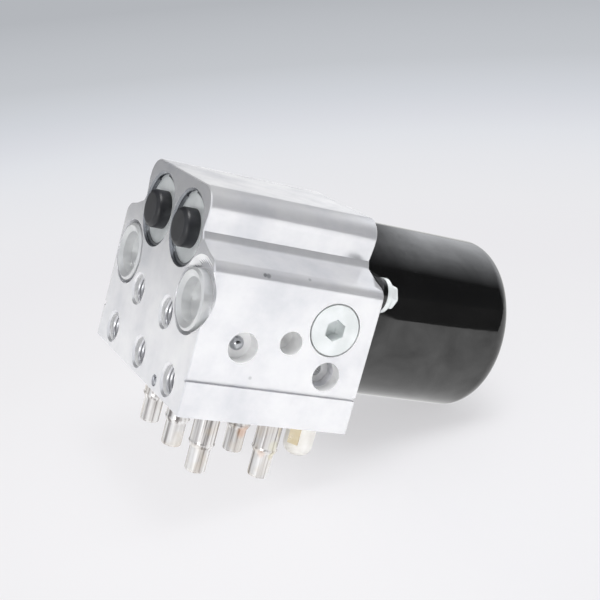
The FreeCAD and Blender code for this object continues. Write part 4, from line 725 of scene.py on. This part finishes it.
# The relief beside the near damping chamber plug
zones += [(BARE, 0, (-39.8, 45.8), 15.0, FRONT_FACE + SKIN, -35.5)]
for x, z, reach in SIDE_BORES:
    zones += [(BARE, 1, (x, z), reach, SKIN - SIDE_FACE, -38.0),
              (BARE, 1, (x, z), reach, 38.0, SIDE_FACE - SKIN)]
block_mesh = bpy.data.objects["hydraulic_block_dressed"].data
block_mesh.materials.append(bore_painted_shade)
block_mesh.materials.append(bored_aluminium)
for face in block_mesh.polygons:
    centre = face.center / MM
    for metal_index, axis, middle, reach, low, high in zones:
        offset = [centre[other] - m for other, m in zip(OTHER_AXES[axis], middle)]
        if low < centre[axis] < high and math.hypot(*offset) < reach:
            face.material_index = metal_index
print("faces by metal:", [sum(face.material_index == i for face in block_mesh.polygons) for i in range(3)])

# %% [markdown]
# ## Sealing balls
# Steel balls are pressed into the drillings that need no fitting. Each mirrors the room, and facets
# would show at once in that mirror, so each is a sphere with many segments in place of the coarse
# measured one.

# %% Sealing balls
# Place and radius in millimetres
BALLS = ((-17.9, -43.9, 30.0, 2.88), (-17.9, 43.9, 30.0, 2.88), (-35.1, -22.0, 4.3, 2.38))
balls = bmesh.new()
for x, y, z, radius in BALLS:
    bmesh.ops.create_uvsphere(balls, u_segments=48, v_segments=24, radius=radius * MM,
                              matrix=Matrix.Translation(Vector((x, y, z)) * MM))
for face in balls.faces:
    face.smooth = True
ball_mesh = bpy.data.meshes.new("sealing_balls_turned")
balls.to_mesh(ball_mesh)
balls.free()
finish_piece("sealing_balls_turned", ball_mesh, ground_steel, "housing", ("sealing_balls",))

# %% [markdown]
# ## Motor bolts
# The motor's bolts are cold headed: the die leaves rounded corners on the hexagon and a washer face
# under it. The shank and the washer face are one profile spun round the bolt, and the hexagon is a
# six-sided cylinder whose edges are bevelled. Cutting the hexagon out of a round head would give
# the same form with more edges to clean.

# %% Motor bolts
EAR_FACE = 37.5 + 2.8
BOLT_PLACES = ((-42.5, 57.5), (42.5, 26.5))
# Distance from the ear and radius, from the tip over the shank and the washer face to its middle
BOLT_PROFILE = [(-12.0, 0.0), (-12.0, 2.45), (-0.9, 2.45), (-0.9, 7.1), (1.1, 7.1), (1.7, 6.6),
                (2.0, 5.6), (2.0, 0.0)]
HEX_RADIUS, HEX_DEPTH, HEX_MIDDLE, HEX_ROUND = 5.31, 4.0, 3.7, 0.9
bolts = bmesh.new()
for y, z in BOLT_PLACES:
    rim = [bolts.verts.new(Vector((EAR_FACE + x, y, z + radius)) * MM) for x, radius in BOLT_PROFILE]
    outline = [bolts.edges.new(pair) for pair in zip(rim, rim[1:])]
    bmesh.ops.spin(bolts, geom=rim + outline, cent=Vector((EAR_FACE, y, z)) * MM, axis=(1, 0, 0),
                   angle=2 * math.pi, steps=48, use_merge=True)
    lying = Matrix.Translation(Vector((EAR_FACE + HEX_MIDDLE, y, z)) * MM) @ Matrix.Rotation(
        math.pi / 2, 4, "Y")
    hexagon = bmesh.ops.create_cone(bolts, cap_ends=True, segments=6, radius1=HEX_RADIUS * MM,
                                    radius2=HEX_RADIUS * MM, depth=HEX_DEPTH * MM, matrix=lying)
    # Each edge is met from both its ends, and a dictionary keeps one of each in a fixed order
    corners = list(dict.fromkeys(edge for vert in hexagon["verts"] for edge in vert.link_edges))
    bmesh.ops.bevel(bolts, geom=corners, offset=HEX_ROUND * MM, segments=3, profile=0.5,
                    affect="EDGES", material=-1)
bmesh.ops.remove_doubles(bolts, verts=bolts.verts, dist=SAME_POINT)
bmesh.ops.recalc_face_normals(bolts, faces=bolts.faces)
for face in bolts.faces:
    face.smooth = True
for edge in bolts.edges:
    edge.smooth = len(edge.link_faces) == 2 and edge.calc_face_angle(0.0) < math.radians(35)
bolt_mesh = bpy.data.meshes.new("motor_bolts_turned")
bolts.to_mesh(bolt_mesh)
bolts.free()
finish_piece("motor_bolts_turned", bolt_mesh, zinc_plate, "housing", ("motor_bolts",))

# %% [markdown]
# ## Threads
# The brake line ports and the two mounting holes are tapped. The measured model keeps them as plain
# bores, so the ridges are added here. One turn of a thread is a ridge with a narrow flat crest that
# is swept along a helix: its outline of four points is spun round the bore while it moves along by
# one pitch per turn. A bump in the material would look flat where the thread is cut by the mouth.

# %% Thread ridges
PITCH, RIDGE_HEIGHT, INTO_WALL = 1.5, 0.55, 0.05
STEPS_PER_TURN = 48


def thread(piece, along, mouth, start, turns, wall):
    """A helical ridge inside a bore of radius wall, from start inside its mouth, in millimetres."""
    across = Vector((0, 0, 1))
    origin = mouth + along * start
    outline = ((wall + INTO_WALL, 0.0), (wall - RIDGE_HEIGHT, PITCH * 0.44),
               (wall - RIDGE_HEIGHT, PITCH * 0.56), (wall + INTO_WALL, PITCH))
    ridge = bmesh.new()
    corners = [ridge.verts.new((origin + across * radius + along * shift) * MM) for radius, shift in outline]
    edges = [ridge.edges.new(pair) for pair in zip(corners, corners[1:])]
    steps = STEPS_PER_TURN * turns
    bmesh.ops.spin(ridge, geom=corners + edges, cent=origin * MM, axis=along, angle=2 * math.pi * turns,
                   steps=steps, dvec=along * PITCH * turns / steps * MM, use_merge=False)
    bmesh.ops.recalc_face_normals(ridge, faces=ridge.faces)
    for face in ridge.faces:
        face.smooth = True
    mesh = bpy.data.meshes.new(piece)
    ridge.to_mesh(mesh)
    ridge.free()
    finish_piece(piece, mesh, cut_thread, "housing")


# Where the ridge starts behind the mouth, and its number of turns
IN_PORT, IN_SIDE_MOUNT = (0.5, 7), (4.9, 3)
tapped = [mount for mount in frame["record"]["mounts"] if mount["kind"] == "threaded_hole"]
for mount in tapped:
    start, turns = IN_PORT if "port" in mount["name"] else IN_SIDE_MOUNT
    thread(f"thread_{mount['name']}", -Vector(mount["axis"]), Vector(mount["pos_m"]) / MM, start, turns,
           mount["dims"]["r_mm"])
print("threads in", [mount["name"] for mount in tapped])
